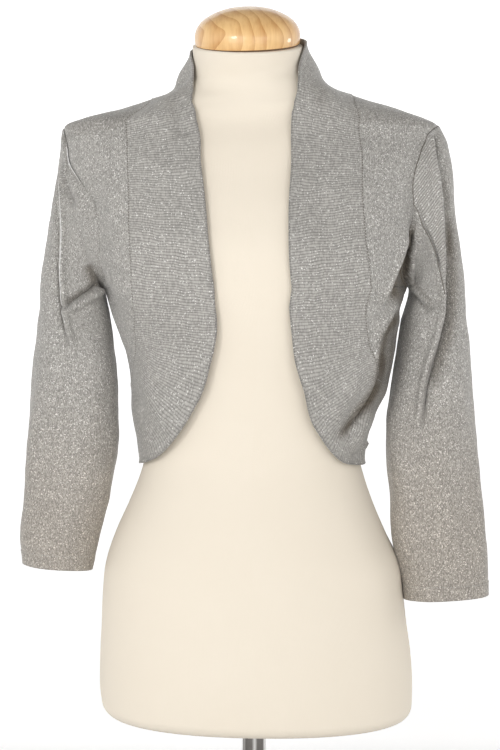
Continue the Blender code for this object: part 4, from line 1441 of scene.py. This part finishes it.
def steel_material(name, streak, darker):
    """Bright steel of the pole and base; streak is the strength of its painted reflections."""
    made, nodes, shader = new_material(name, Metallic=1.0)
    stand = bpy.context.scene.bolero_stand
    steel = nodes.group(steel_group(), {
        "Place": nodes.object_place(),
        "Streak": streak,
        "Light": rgba(stand.steel_light, darker),
        "Dark": rgba(stand.steel_dark, darker),
    })
    nodes.feed(shader.inputs["Base Color"], steel["Color"])
    nodes.feed(shader.inputs["Roughness"], steel["Roughness"])
    bump(nodes, shader, steel["Height"], 0.0001, 0.15)
    return made


def paper_material(colour, glow):
    """Seamless pale paper of the studio, lit from behind where it lies behind the object."""
    made, nodes, shader = new_material("pale paper", Roughness=0.9, Emission_Color=rgba(colour))
    place = nodes.object_place()
    behind = nodes.split(place)["Y"]
    nodes.feed(shader.inputs["Emission Strength"], nodes.spread(behind, *PAPER_GLOW_FROM_TO, 0.0, glow))
    grain = nodes.grey(nodes.cloud(place, 120.0, 0.98, 1.0))
    nodes.feed(shader.inputs["Base Color"], nodes.blend(1.0, rgba(colour), grain, "MULTIPLY"))
    return made


def round_ring(across, up, sides):
    """Unit rings with the given number of sides, each in the plane of its two directions."""
    angles = 2 * np.pi * np.arange(sides) / sides
    return np.cos(angles)[None, :, None] * across[:, None] + np.sin(angles)[None, :, None] * up[:, None]


NEAR_UP = (0.0, 0.31, 0.95)


def tube_grid(line, radius):
    """Rings round a line of points."""
    ahead = unit(np.gradient(line, axis=0))
    across = unit(np.cross(ahead, NEAR_UP))
    ring = round_ring(across, np.cross(across, ahead), CORD_SIDES)
    return line[:, None] + ring * np.reshape(radius, (-1, 1, 1))


def close_ends(piece):
    """Fills the open ends of tubes and turns all faces outwards."""
    bm = bmesh.new()
    bm.from_mesh(piece.data)
    bmesh.ops.holes_fill(bm, edges=[edge for edge in bm.edges if edge.is_boundary], sides=0)
    bmesh.ops.recalc_face_normals(bm, faces=bm.faces)
    bm.to_mesh(piece.data)
    bm.free()
    return piece


def seam_cord(name, line, radius, finish, slot="knit"):
    """A thin closed cord of yarn along a line of points, as a finished piece."""
    points = tube_grid(line, radius)
    along = lengths_along(points, 0)
    round_it = np.linspace(0, 2 * np.pi * np.mean(radius), CORD_SIDES + 1)
    flat = np.stack(np.broadcast_arrays(round_it[None, :], along[:, :1]), axis=-1)
    front = np.broadcast_to((0.0, -1.0, 0.0), points.shape)
    # Cords on the front take the painted shade of the body's folds.
    shade = painted_cloth_shade("body", points, front) * (points[..., 1] < 0)
    cord = object_from_grid(name, points, flat, finish, around=True, shade=shade)
    return place_piece(close_ends(cord), slot)


def read_evenly(line, values, step):
    """Values along a line, read at even distances."""
    run = lengths_along(line, 0)
    stops = np.arange(0, run[-1], step)
    return np.stack([np.interp(stops, run, values[:, k]) for k in range(3)], axis=-1)


def even_line(line, step):
    """The same line with points at even distances."""
    return read_evenly(line, line, step)


def stitches(name, line, normals, stitch, finish, slot):
    """A row of short stitches along a line, each a small arched grain, joined in one piece."""
    normals = unit(read_evenly(line, normals, stitch.step))
    line = even_line(line, stitch.step)
    ahead = unit(np.gradient(line, axis=0))
    side = unit(np.cross(normals, ahead))
    slant = math.radians(stitch.slant)
    lie = ahead * math.cos(slant) + side * math.sin(slant)
    share, girth = np.array(STITCH_GRAIN).T
    along = share * stitch.length / 2
    arch = stitch.radius * (STITCH_ARCH - share * share)
    middles = line[:, None] + lie[:, None] * along[:, None] + normals[:, None] * arch[:, None]
    around = round_ring(np.cross(normals, lie), normals, STITCH_SIDES)
    points = middles[:, :, None] + around[:, None] * (stitch.radius * girth)[:, None, None]
    rings = len(share)
    ring = np.arange(STITCH_SIDES)
    first = (np.arange(len(line)) * rings * STITCH_SIDES)[:, None, None]
    low = first + (np.arange(rings - 1) * STITCH_SIDES)[:, None]
    corner, beside = low + ring, low + (ring + 1) % STITCH_SIDES
    quads = np.stack((corner, beside, beside + STITCH_SIDES, corner + STITCH_SIDES), axis=-1)
    tails = first[:, 0] + ring[::-1]
    heads = first[:, 0] + (rings - 1) * STITCH_SIDES + ring
    faces = quads.reshape(-1, 4).tolist() + tails.tolist() + heads.tolist()
    mesh = bpy.data.meshes.new(name)
    mesh.from_pydata((points.reshape(-1, 3) * MM).tolist(), [], faces)
    turned = 2 * np.pi * ring / STITCH_SIDES * stitch.radius
    flat = np.stack(np.broadcast_arrays(turned, along[:, None]), axis=-1)
    flat = np.tile(flat.reshape(-1, 2), (len(line), 1)) * MM
    corners = np.empty(len(mesh.loops), np.int32)
    mesh.loops.foreach_get("vertex_index", corners)
    layer = mesh.uv_layers.new(name="cloth")
    layer.data.foreach_set("uv", flat[corners].astype(np.float32).ravel())
    return place_piece(close_ends(new_object(name, mesh, finish)), slot)


GRIDS = {}


def body_grids():
    """Grids of all the body's panels, worked out once: points, flat map and outward sign."""
    if not GRIDS:
        GRIDS["back"] = (*back_grid(), 1)
        for side in SIGN:
            GRIDS[f"front_{side}"] = (*front_grid(side), SIGN[side])
            GRIDS[f"band_{side}"] = (*band_grid(side), SIGN[side])
        for side in SIGN:
            front, back = GRIDS[f"front_{side}"][0], GRIDS["back"][0]
            GRIDS[f"sleeve_{side}"] = (*sleeve_grid(side, front, back), SIGN[side])
    return GRIDS


def outer_border(name, rows, columns, lift):
    """Points of a panel's border, or line, on its outer face, and the normals there."""
    points, _, sign = body_grids()[name]
    normals = (sign * grid_normals(points))[rows, columns]
    return points[rows, columns] + normals * lift, normals


AHEAD_OF_ALL = -400


def drawn_line(name, route, lift):
    """A route drawn on the front of a tube, laid on its outer face."""
    points, _, sign = body_grids()[name]
    outer = points + sign * grid_normals(points, True) * KNIT_WALL_MM
    faces = grid_corners(*points.shape[:2], around=True)
    tree = BVHTree.FromPolygons(outer.reshape(-1, 3).tolist(), faces.tolist())
    flat = np.array([(x, 0, z) for x, z in route], float)
    found = []
    for x, _, z in even_line(flat, CORD_STEP):
        place = tree.ray_cast(Vector((x, AHEAD_OF_ALL, z)), Vector((0, 1, 0)))[0]
        if place is not None:
            found.append((place.x, place.y - lift, place.z))
    return np.array(found)


SHARP_FROM = 35
EDGE_STEPS = 5


def turn_piece(name, outline, steps):
    """A turned piece, drawn up ring by ring from its foot to its crown."""
    deselect_all()
    radius, height = outline[0]
    bpy.ops.mesh.primitive_circle_add(
        vertices=steps, radius=radius * MM, fill_type="NGON", location=(0, 0, height * MM)
    )
    made = bpy.context.object
    made.name = name
    bpy.ops.object.transform_apply(location=True, rotation=True, scale=True)
    bpy.ops.object.mode_set(mode="EDIT")
    bpy.ops.mesh.select_all(action="SELECT")
    for (low_radius, low), (high_radius, high) in zip(outline, outline[1:]):
        bpy.ops.mesh.extrude_region_move(TRANSFORM_OT_translate={"value": (0, 0, (high - low) * MM)})
        ratio = high_radius / low_radius
        bpy.ops.transform.resize(value=(ratio, ratio, 1), center_override=(0, 0, high * MM))
    bpy.ops.mesh.select_all(action="SELECT")
    bpy.ops.mesh.normals_make_consistent(inside=False)
    bpy.ops.object.mode_set(mode="OBJECT")
    bpy.ops.object.shade_smooth_by_angle(angle=math.radians(SHARP_FROM))
    made.select_set(False)
    return made


def rounded_edge(radius, height, edge):
    """Points of a rounded outer edge below a height."""
    angles = [math.pi / 2 * k / EDGE_STEPS for k in range(EDGE_STEPS + 1)]
    return tuple(
        (radius - edge * (1 - math.cos(angle)), height - edge * (1 - math.sin(angle))) for angle in angles
    )


def number(name, description, default, **kind):
    return FloatProperty(name=name, description=description, default=default, **kind)


def length(name, description, default, **kind):
    return number(name, description, default, unit="LENGTH", **kind)


def colour(name, description, default):
    return FloatVectorProperty(name=name, description=description, default=default, subtype="COLOR")


class KnitSettings(bpy.types.PropertyGroup):
    """Sizes and colours of the knit."""

    gauge: number("Gauge", "Size of the stitches against the real ones", 1.0, min=0.3, max=4)
    panel_wall: length("Panel wall", "Thickness of the single jersey", 0.0015)
    band_wall: length("Band wall", "Thickness of the double band", 0.002)
    glitter: number("Glitter", "Share of stitches that flash", 0.05, min=0, max=1, subtype="FACTOR")
    light_yarn: colour("Light yarn", "Colour of the yarn on top", (0.54, 0.52, 0.488))
    dark_yarn: colour("Dark yarn", "Colour between the stitches", (0.225, 0.216, 0.201))
    # Painted warm reflection: the tint of the lower sleeves.
    painted_warm_tint: colour("Painted warm tint", "Painted warm reflection on the lower sleeves", (1.0, 0.95, 0.9))
    # Painted shade: the tint of the cloth where its colour is darkened in folds and away from the light.
    painted_shade_tint: colour("Painted shade tint", "Painted shade of the cloth in its folds", (0.3, 0.26, 0.21))
    seam_light: colour("Seam yarn", "Linking yarn that shows light", (0.6, 0.58, 0.54))
    seam_dark: colour("Deep seam yarn", "Yarn in the seams' grooves", (0.2, 0.18, 0.155))


class FormSettings(bpy.types.PropertyGroup):
    """Sizes and colours of the dress form and its cap."""

    jersey_wale: length("Jersey pitch", "Width of one column of the cover", 0.0011)
    jersey_light: colour("Jersey", "Colour of the cover", (0.85, 0.775, 0.66))
    jersey_dark: colour("Jersey shade", "Darker patches of the cover", (0.83, 0.75, 0.63))
    wood_light: colour("Pine", "Early wood of the cap", (0.87, 0.565, 0.25))
    wood_dark: colour("Late wood", "Darker bands of the cap", (0.56, 0.26, 0.075))
    grain_ring: length("Grain spacing", "Distance between growth bands", 0.0165)
    cap_steps: IntProperty(
        name="Cap steps", description="Sides of the turned cap", default=96, min=24, max=256
    )


class StandSettings(bpy.types.PropertyGroup):
    """Sizes and colours of the pole and base."""

    pole_radius: length("Pole radius", "Half of the pole's width", 0.0125)
    base_radius: length("Base radius", "Half of the base's width", 0.14)
    base_thickness: length("Base thickness", "Height of the base plate", 0.012)
    base_edge: length("Base edge", "Radius of the base's rounded rim", 0.0025)
    steel_light: colour("Steel", "Bright part of the steel", (0.42, 0.4, 0.38))
    steel_dark: colour("Steel shade", "Dull part of the steel", (0.24, 0.225, 0.21))


class StudioSettings(bpy.types.PropertyGroup):
    """Camera and light of the studio."""

    camera_distance: length("Camera distance", "From the form's middle to the camera", 1.7)
    camera_height: length("Camera height", "Height of the level camera", 0.653)
    pixel: length("Frame scale", "One row of the frame at the form's middle", 0.00108, precision=5)
    key: number("Key light", "Power of the large front light", 17.5, unit="POWER")
    fill: number("Fill light", "Power of the fill light", 12.5, unit="POWER")
    world: number("Room light", "Strength of the pale room", 0.8, min=0, max=3)
    paper: colour("Paper", "Colour of the seamless paper", (0.95, 0.95, 0.95))
    paper_glow: number("Paper glow", "Light from behind the paper", 0.45, min=0, max=3)


class BOLERO_OT_form(bpy.types.Operator):
    """Covers the dress form in cream jersey"""

    bl_idname = "bolero.form"
    bl_label = "Form cover"

    def execute(self, context):
        bottom, tilt_from = FORM[0][:2]
        angle = np.linspace(0, np.pi / 2, FORM_RIM_ROWS, endpoint=False)
        rim = bottom + FORM_RIM * (1 - np.cos(angle))
        heights = np.concatenate((rim, np.linspace(bottom + FORM_RIM, FORM_TOP, FORM_ROWS)))
        draw_in = np.zeros_like(heights)
        draw_in[: len(rim)] = -FORM_RIM * (1 - np.sin(angle))
        turns = 360 * np.arange(FORM_AROUND) / FORM_AROUND
        turn, height = np.meshgrid(turns, heights)
        points = section(turn, height, draw_in[:, None], dressed=False)
        low = smooth((TILT_TO - height) / (TILT_TO - bottom))
        points[..., 2] -= FORM_TILT * points[..., 0] / tilt_from * low
        closed = np.concatenate((points, points[:, :1]), axis=1)
        up = lengths_along(closed, 0)
        around = lengths_along(closed, 1)[FORM_ROWS // 3] * np.ones_like(up)
        flat = np.stack((around, up), axis=-1)
        cover = object_from_grid("form_cover", points, flat, jersey_material(), around=True)
        place_piece(close_ends(cover), "jersey", "dress_form")
        return {"FINISHED"}


class BOLERO_OT_cap(bpy.types.Operator):
    """Turns the wooden cap and sets it on the neck"""

    bl_idname = "bolero.cap"
    bl_label = "Wooden cap"

    def execute(self, context):
        cap = turn_piece("cap_wood", CAP, context.scene.bolero_form.cap_steps)
        lean = math.atan(FORM_CURVES.read("lean", np.array(FORM_TOP)))
        rim = section(np.array((0, 90, 180, 270)), FORM_TOP, dressed=False)
        centre = Vector(rim.mean(axis=0)) * MM
        axis = Vector((0, -math.sin(lean), math.cos(lean)))
        cap.data.materials.append(pine_material())
        # The cap's side faces near its foot take the dark brown: painted shadow of the gap at the neck.
        foot, _, _ = new_material("painted foot shadow", Base_Color=CAP_FOOT_SHADOW, Roughness=0.6)
        cap.data.materials.append(foot)
        for face in cap.data.polygons:
            on_side = abs(face.normal.z) < FACING_UP
            face.material_index = int(on_side and face.center.z < CAP_FOOT_SHADOW_TOP * MM)
        roll = Matrix.Rotation(math.radians(-CAP_ROLL), 4, "Y")
        place = Matrix.Translation(centre + axis * SEAM_GAP * MM) @ roll @ Matrix.Rotation(lean, 4, "X")
        cap.data.transform(place)
        place_piece(cap, "wood", "neck_cap")
        return {"FINISHED"}


class BOLERO_OT_stand(bpy.types.Operator):
    """Makes the steel pole and the round base"""

    bl_idname = "bolero.stand"
    bl_label = "Pole and base"

    def execute(self, context):
        size = context.scene.bolero_stand
        thickness, edge = size.base_thickness / MM, size.base_edge / MM
        radius, pole = size.base_radius / MM, size.pole_radius / MM
        low = thickness + SEAM_GAP
        high = FORM[0][0] - SEAM_GAP
        foot = ((radius - BASE_FOOT_EDGE, 0), (radius, BASE_FOOT_EDGE))
        # Each part's outline, sides, strength of its painted reflection streaks and darkening of its
        # steel.
        parts = {
            "pole": (((pole, low), (pole, (low + high) / 2), (pole, high)), POLE_SIDES, 1.0, POLE_DARKER),
            "base": ((*foot, *rounded_edge(radius, thickness, edge)), BASE_SIDES, BASE_STREAK, 1.0),
        }
        for node, (outline, steps, streak, darker) in parts.items():
            piece = turn_piece(f"stand_{node}", outline, steps)
            piece.data.materials.append(steel_material(f"{node} steel", streak, darker))
            place_piece(piece, "steel", node)
        return {"FINISHED"}


class BOLERO_OT_back(bpy.types.Operator):
    """Makes the back in one piece of glitter knit"""

    bl_idname = "bolero.back"
    bl_label = "Back"

    def execute(self, context):
        wall = context.scene.bolero_knit.panel_wall
        cloth_piece("back", "knit", "panel knit", wall)
        return {"FINISHED"}


class BOLERO_OT_fronts(bpy.types.Operator):
    """Makes the two narrow fronts"""

    bl_idname = "bolero.fronts"
    bl_label = "Fronts"

    def execute(self, context):
        wall = context.scene.bolero_knit.panel_wall
        for side in SIGN:
            cloth_piece(f"front_{side}", "knit", "panel knit", wall)
        return {"FINISHED"}


class BOLERO_OT_bands(bpy.types.Operator):
    """Makes the two halves of the wide double band, with their folded edge"""

    bl_idname = "bolero.bands"
    bl_label = "Bands"

    def execute(self, context):
        wall = context.scene.bolero_knit.band_wall
        for side in SIGN:
            piece = cloth_piece(f"band_{side}", "band", "band knit", wall)
            line, _ = outer_border(f"band_{side}", slice(None), -1, BAND_WALL_MM / 2)
            line = even_line(line, BAND_EDGE_STEP)
            # The folded edge's knit is darker: painted shade of its underside.
            finish = knit_material("band edge painted shade")
            edge = seam_cord(f"band_edge_{side}", line, BAND_EDGE_RADIUS, finish, "band")
        return {"FINISHED"}


class BOLERO_OT_sleeves(bpy.types.Operator):
    """Makes the two three-quarter sleeves with their turned hems"""

    bl_idname = "bolero.sleeves"
    bl_label = "Sleeves"

    def execute(self, context):
        wall = context.scene.bolero_knit.panel_wall
        for side in SIGN:
            node = f"sleeve_{side}"
            points, _, sign = body_grids()[node]
            slanted = slanted_head(points, sign) if side == "left" else None
            # Painted warm reflection, stronger towards the cuffs.
            warmth = smooth((WARM_FROM - points[..., 2]) / WARM_OVER)
            piece = cloth_piece(node, "knit", "panel knit", wall, True, slanted=slanted, warmth=warmth)
        return {"FINISHED"}


class BOLERO_OT_seams(bpy.types.Operator):
    """Closes the seams with linking yarn and stitches the hems"""

    bl_idname = "bolero.seams"
    bl_label = "Seams and stitching"

    def execute(self, context):
        knit = context.scene.bolero_knit
        light = thread_material("linking yarn", knit.seam_light, 0.3)
        deep = thread_material("deep seam yarn", knit.seam_dark, 0.1)
        bright = thread_material("piping and painted highlight yarn", PIPING_AND_HIGHLIGHT_TINT, 0.0)
        for side in SIGN:
            # The right armhole's cord is in the light yarn: a real seam whose light colour is also a
            # painted highlight.
            self.armhole(side, bright if side == "right" else deep)
            self.plain_seams(side, deep)
            line, normals = outer_border(f"band_{side}", BAND_SEAM_SPAN, 0, BAND_SEAM_LIFT)
            seam = even_line(line, PLAIN_SEAM_STEP)
            seam_cord(f"seam_band_{side}", seam, PLAIN_SEAM_RADIUS, deep, "band")
            stitches(f"stitches_band_{side}", line, normals, BAND_STITCH, light, "band")
            self.hem(side, light)
        # A light cord along the right sleeve's fold crest: a painted highlight.
        crest = drawn_line("sleeve_right", FOLD_CREST, FOLD_CREST_LIFT)
        shape = np.sin(np.pi * np.linspace(*FOLD_CREST_SPAN, len(crest))) ** 0.5
        seam_cord("fold_crest_painted_highlight_right", crest, FOLD_CREST_RADIUS * shape, bright)
        return {"FINISHED"}

    def armhole(self, side, finish):
        """The armhole's raised cord, and the fill of knit below the point where it leaves the edge."""
        leaves = SEAM_LEAVES_EDGE[side]
        edge = (f"front_{side}", slice(SIDE_ROWS, None), -1)
        flush, _ = outer_border(*edge, SEAM_FILL_LIFT)
        flush = even_line(flush[flush[:, 2] < leaves + SEAM_FILL_OVERLAP], CORD_STEP)
        flush[:, 0] += SIGN[side] * SEAM_FILL_OUT
        slim = smooth((flush[:, 2] - SEAM_FILL_STOUT_BELOW) / SEAM_FILL_STOUT_OVER)
        stout = SEAM_FILL_RADIUS * mix(SEAM_FILL_STOUTER, 1, slim)
        seam_cord(f"seam_join_{side}", flush, stout, knit_material("panel knit"))
        front, _ = outer_border(*edge, ARMHOLE_CORD_LIFT[side])
        back_column = 0 if side == "left" else -1
        back_rows = slice(-(ARMHOLE_ROWS + 1), None)
        back, _ = outer_border("back", back_rows, back_column, ARMHOLE_CORD_LIFT[side])
        parts = [front[front[:, 2] > leaves], back[-2::-1]]
        if side == "left":
            parts.insert(0, drawn_line("sleeve_left", ARMHOLE_TAIL, ARMHOLE_TAIL_LIFT))
        ring = even_line(np.concatenate(parts), CORD_STEP)
        taper = smooth((ring[:, 2] - leaves) / CORD_TAPER_OVER[side])
        radius = ARMHOLE_CORD_RADIUS[side] * mix(CORD_TAPER[side], 1, taper)
        seam_cord(f"seam_armhole_{side}", ring, radius, finish)

    def plain_seams(self, side, finish):
        """The side and shoulder seams."""
        borders = {"side": (slice(0, SIDE_ROWS + 1), -1), "shoulder": (-1, slice(None))}
        for name, (rows, columns) in borders.items():
            line, _ = outer_border(f"front_{side}", rows, columns, PLAIN_SEAM_LIFT)
            line = even_line(line, PLAIN_SEAM_STEP)
            seam_cord(f"seam_{name}_{side}", line, PLAIN_SEAM_RADIUS, finish)

    def hem(self, side, finish):
        """A row of stitches round the cuff, at the hem's upper edge."""
        points, _, sign = body_grids()[f"sleeve_{side}"]
        run = lengths_along(points, 0)
        row = int(np.argmin(np.abs(run[-1].mean() - run.mean(axis=1) - CUFF_HEM)))
        normals = (sign * grid_normals(points, True))[row]
        line = points[row] + normals * (KNIT_WALL_MM + CUFF_STITCH_LIFT)
        line = np.concatenate((line, line[:1]))
        normals = np.concatenate((normals, normals[:1]))
        stitches(f"stitches_cuff_{side}", line, normals, CUFF_STITCH, finish, "knit")


def slanted_head(points, sign):
    """The sleeve's head between the armhole and the large fold, whose wales run aslant."""
    places, heights = points[..., (0, 2)], points[..., 2]
    fold, _ = route_distance(places, SLANTED_HEAD_LINE)
    tail, _ = route_distance(places, ARMHOLE_TAIL)
    in_front = (sign * grid_normals(points, True))[..., 1] < -SLANTED_HEAD_FACING
    above = (tail > 0) | (heights > SLANTED_HEAD_ABOVE_TAIL)
    return (fold > 0) & in_front & (heights > SLANTED_HEAD_FROM) & above


class BOLERO_OT_studio(bpy.types.Operator):
    """Sets the seamless paper, soft lights and the level camera"""

    bl_idname = "bolero.studio"
    bl_label = "Studio"

    def execute(self, context):
        scene = context.scene
        studio = scene.bolero_studio
        scene.view_settings.view_transform = "Standard"
        self.paper(studio)
        for name, (place, width, source, share) in LIGHTS.items():
            self.light(scene, name, place, width, getattr(studio, source) * share)
        self.room(scene, studio.world)
        self.camera(scene, studio)
        return {"FINISHED"}

    def paper(self, studio):
        """Paper that covers the floor and sweeps up behind."""
        bend = np.linspace(0, np.pi / 2, PAPER_BEND_ROWS)
        sweep = PAPER_BACK - PAPER_BEND + PAPER_BEND * np.sin(bend)
        y = np.concatenate(([-PAPER_REACH], sweep, [PAPER_BACK]))
        z = np.concatenate(([0.0], PAPER_BEND - PAPER_BEND * np.cos(bend), [PAPER_HEIGHT]))
        x = np.array((-PAPER_REACH, PAPER_REACH))
        points = np.stack(np.broadcast_arrays(x[None, :], y[:, None], z[:, None]), axis=-1)
        finish = paper_material(studio.paper, studio.paper_glow)
        made = object_from_grid("studio_paper", points, points[..., (0, 2)], finish)

    def light(self, scene, name, place, width, power):
        data = bpy.data.lights.new(name, "AREA")
        data.shape = "SQUARE"
        data.size = width
        data.energy = power
        made = bpy.data.objects.new(name, data)
        scene.collection.objects.link(made)
        made.location = place
        toward = Vector(LIGHTS_AIM) - Vector(place)
        made.rotation_euler = toward.to_track_quat("-Z", "Y").to_euler()

    def room(self, scene, strength):
        """A pale room round the object."""
        world = scene.world or bpy.data.worlds.new("pale room")
        scene.world = world
        world.use_nodes = True
        nodes = Nodes(world.node_tree)
        background = world.node_tree.nodes["Background"]
        background.inputs["Color"].default_value = ROOM_COLOUR
        way = nodes.split(nodes.add("ShaderNodeTexCoord").outputs["Generated"])
        steepness = nodes.math("ABSOLUTE", way["Z"])
        level = nodes.spread(steepness, *ROOM_STEEPNESS, strength, strength * ROOM_TOP_SHARE)
        sides = nodes.spread(nodes.math("ABSOLUTE", way["X"]), *ROOM_SIDEWAYS, 1.0, ROOM_SIDES_GAIN)
        nodes.feed(background.inputs["Strength"], nodes.times(level, sides))

    def camera(self, scene, studio):
        data = bpy.data.cameras.new("camera")
        data.sensor_fit = "VERTICAL"
        data.sensor_height = SENSOR
        half_view = FRAME_HEIGHT * studio.pixel / 2
        data.lens = SENSOR / 2 * studio.camera_distance / half_view
        data.shift_x, data.shift_y = (shift / FRAME_HEIGHT for shift in AXIS_SHIFT)
        made = bpy.data.objects.new("camera", data)
        scene.collection.objects.link(made)
        made.location = (0, -studio.camera_distance, studio.camera_height)
        made.rotation_euler = (math.pi / 2, 0, 0)
        scene.camera = made


STEPS = (
    BOLERO_OT_form,
    BOLERO_OT_cap,
    BOLERO_OT_stand,
    BOLERO_OT_back,
    BOLERO_OT_fronts,
    BOLERO_OT_bands,
    BOLERO_OT_sleeves,
    BOLERO_OT_seams,
    BOLERO_OT_studio,
)


class BOLERO_PT_panel(bpy.types.Panel):
    """Lists the bolero's pieces and the studio"""

    bl_idname = "BOLERO_PT_panel"
    bl_label = "Bolero on a dress form"
    bl_space_type = "VIEW_3D"
    bl_region_type = "UI"
    bl_category = "Bolero"

    def draw(self, context):
        for step in STEPS:
            self.layout.operator(step.bl_idname)
        for group in SETTINGS:
            settings = getattr(context.scene, group)
            for name in settings.bl_rna.properties.keys():
                if name not in ("rna_type", "name"):
                    self.layout.prop(settings, name)


SETTINGS = {
    "bolero_knit": KnitSettings,
    "bolero_form": FormSettings,
    "bolero_stand": StandSettings,
    "bolero_studio": StudioSettings,
}


def register():
    for kind in (*SETTINGS.values(), *STEPS, BOLERO_PT_panel):
        bpy.utils.register_class(kind)
    for name, kind in SETTINGS.items():
        setattr(bpy.types.Scene, name, PointerProperty(type=kind))


def unregister():
    for name in SETTINGS:
        delattr(bpy.types.Scene, name)
    for kind in reversed((*SETTINGS.values(), *STEPS, BOLERO_PT_panel)):
        bpy.utils.unregister_class(kind)


def main():
    register()
    deselect_all()
    for step in STEPS:
        group, name = step.bl_idname.split(".")
        getattr(getattr(bpy.ops, group), name)()


if __name__ == "__main__":
    main()
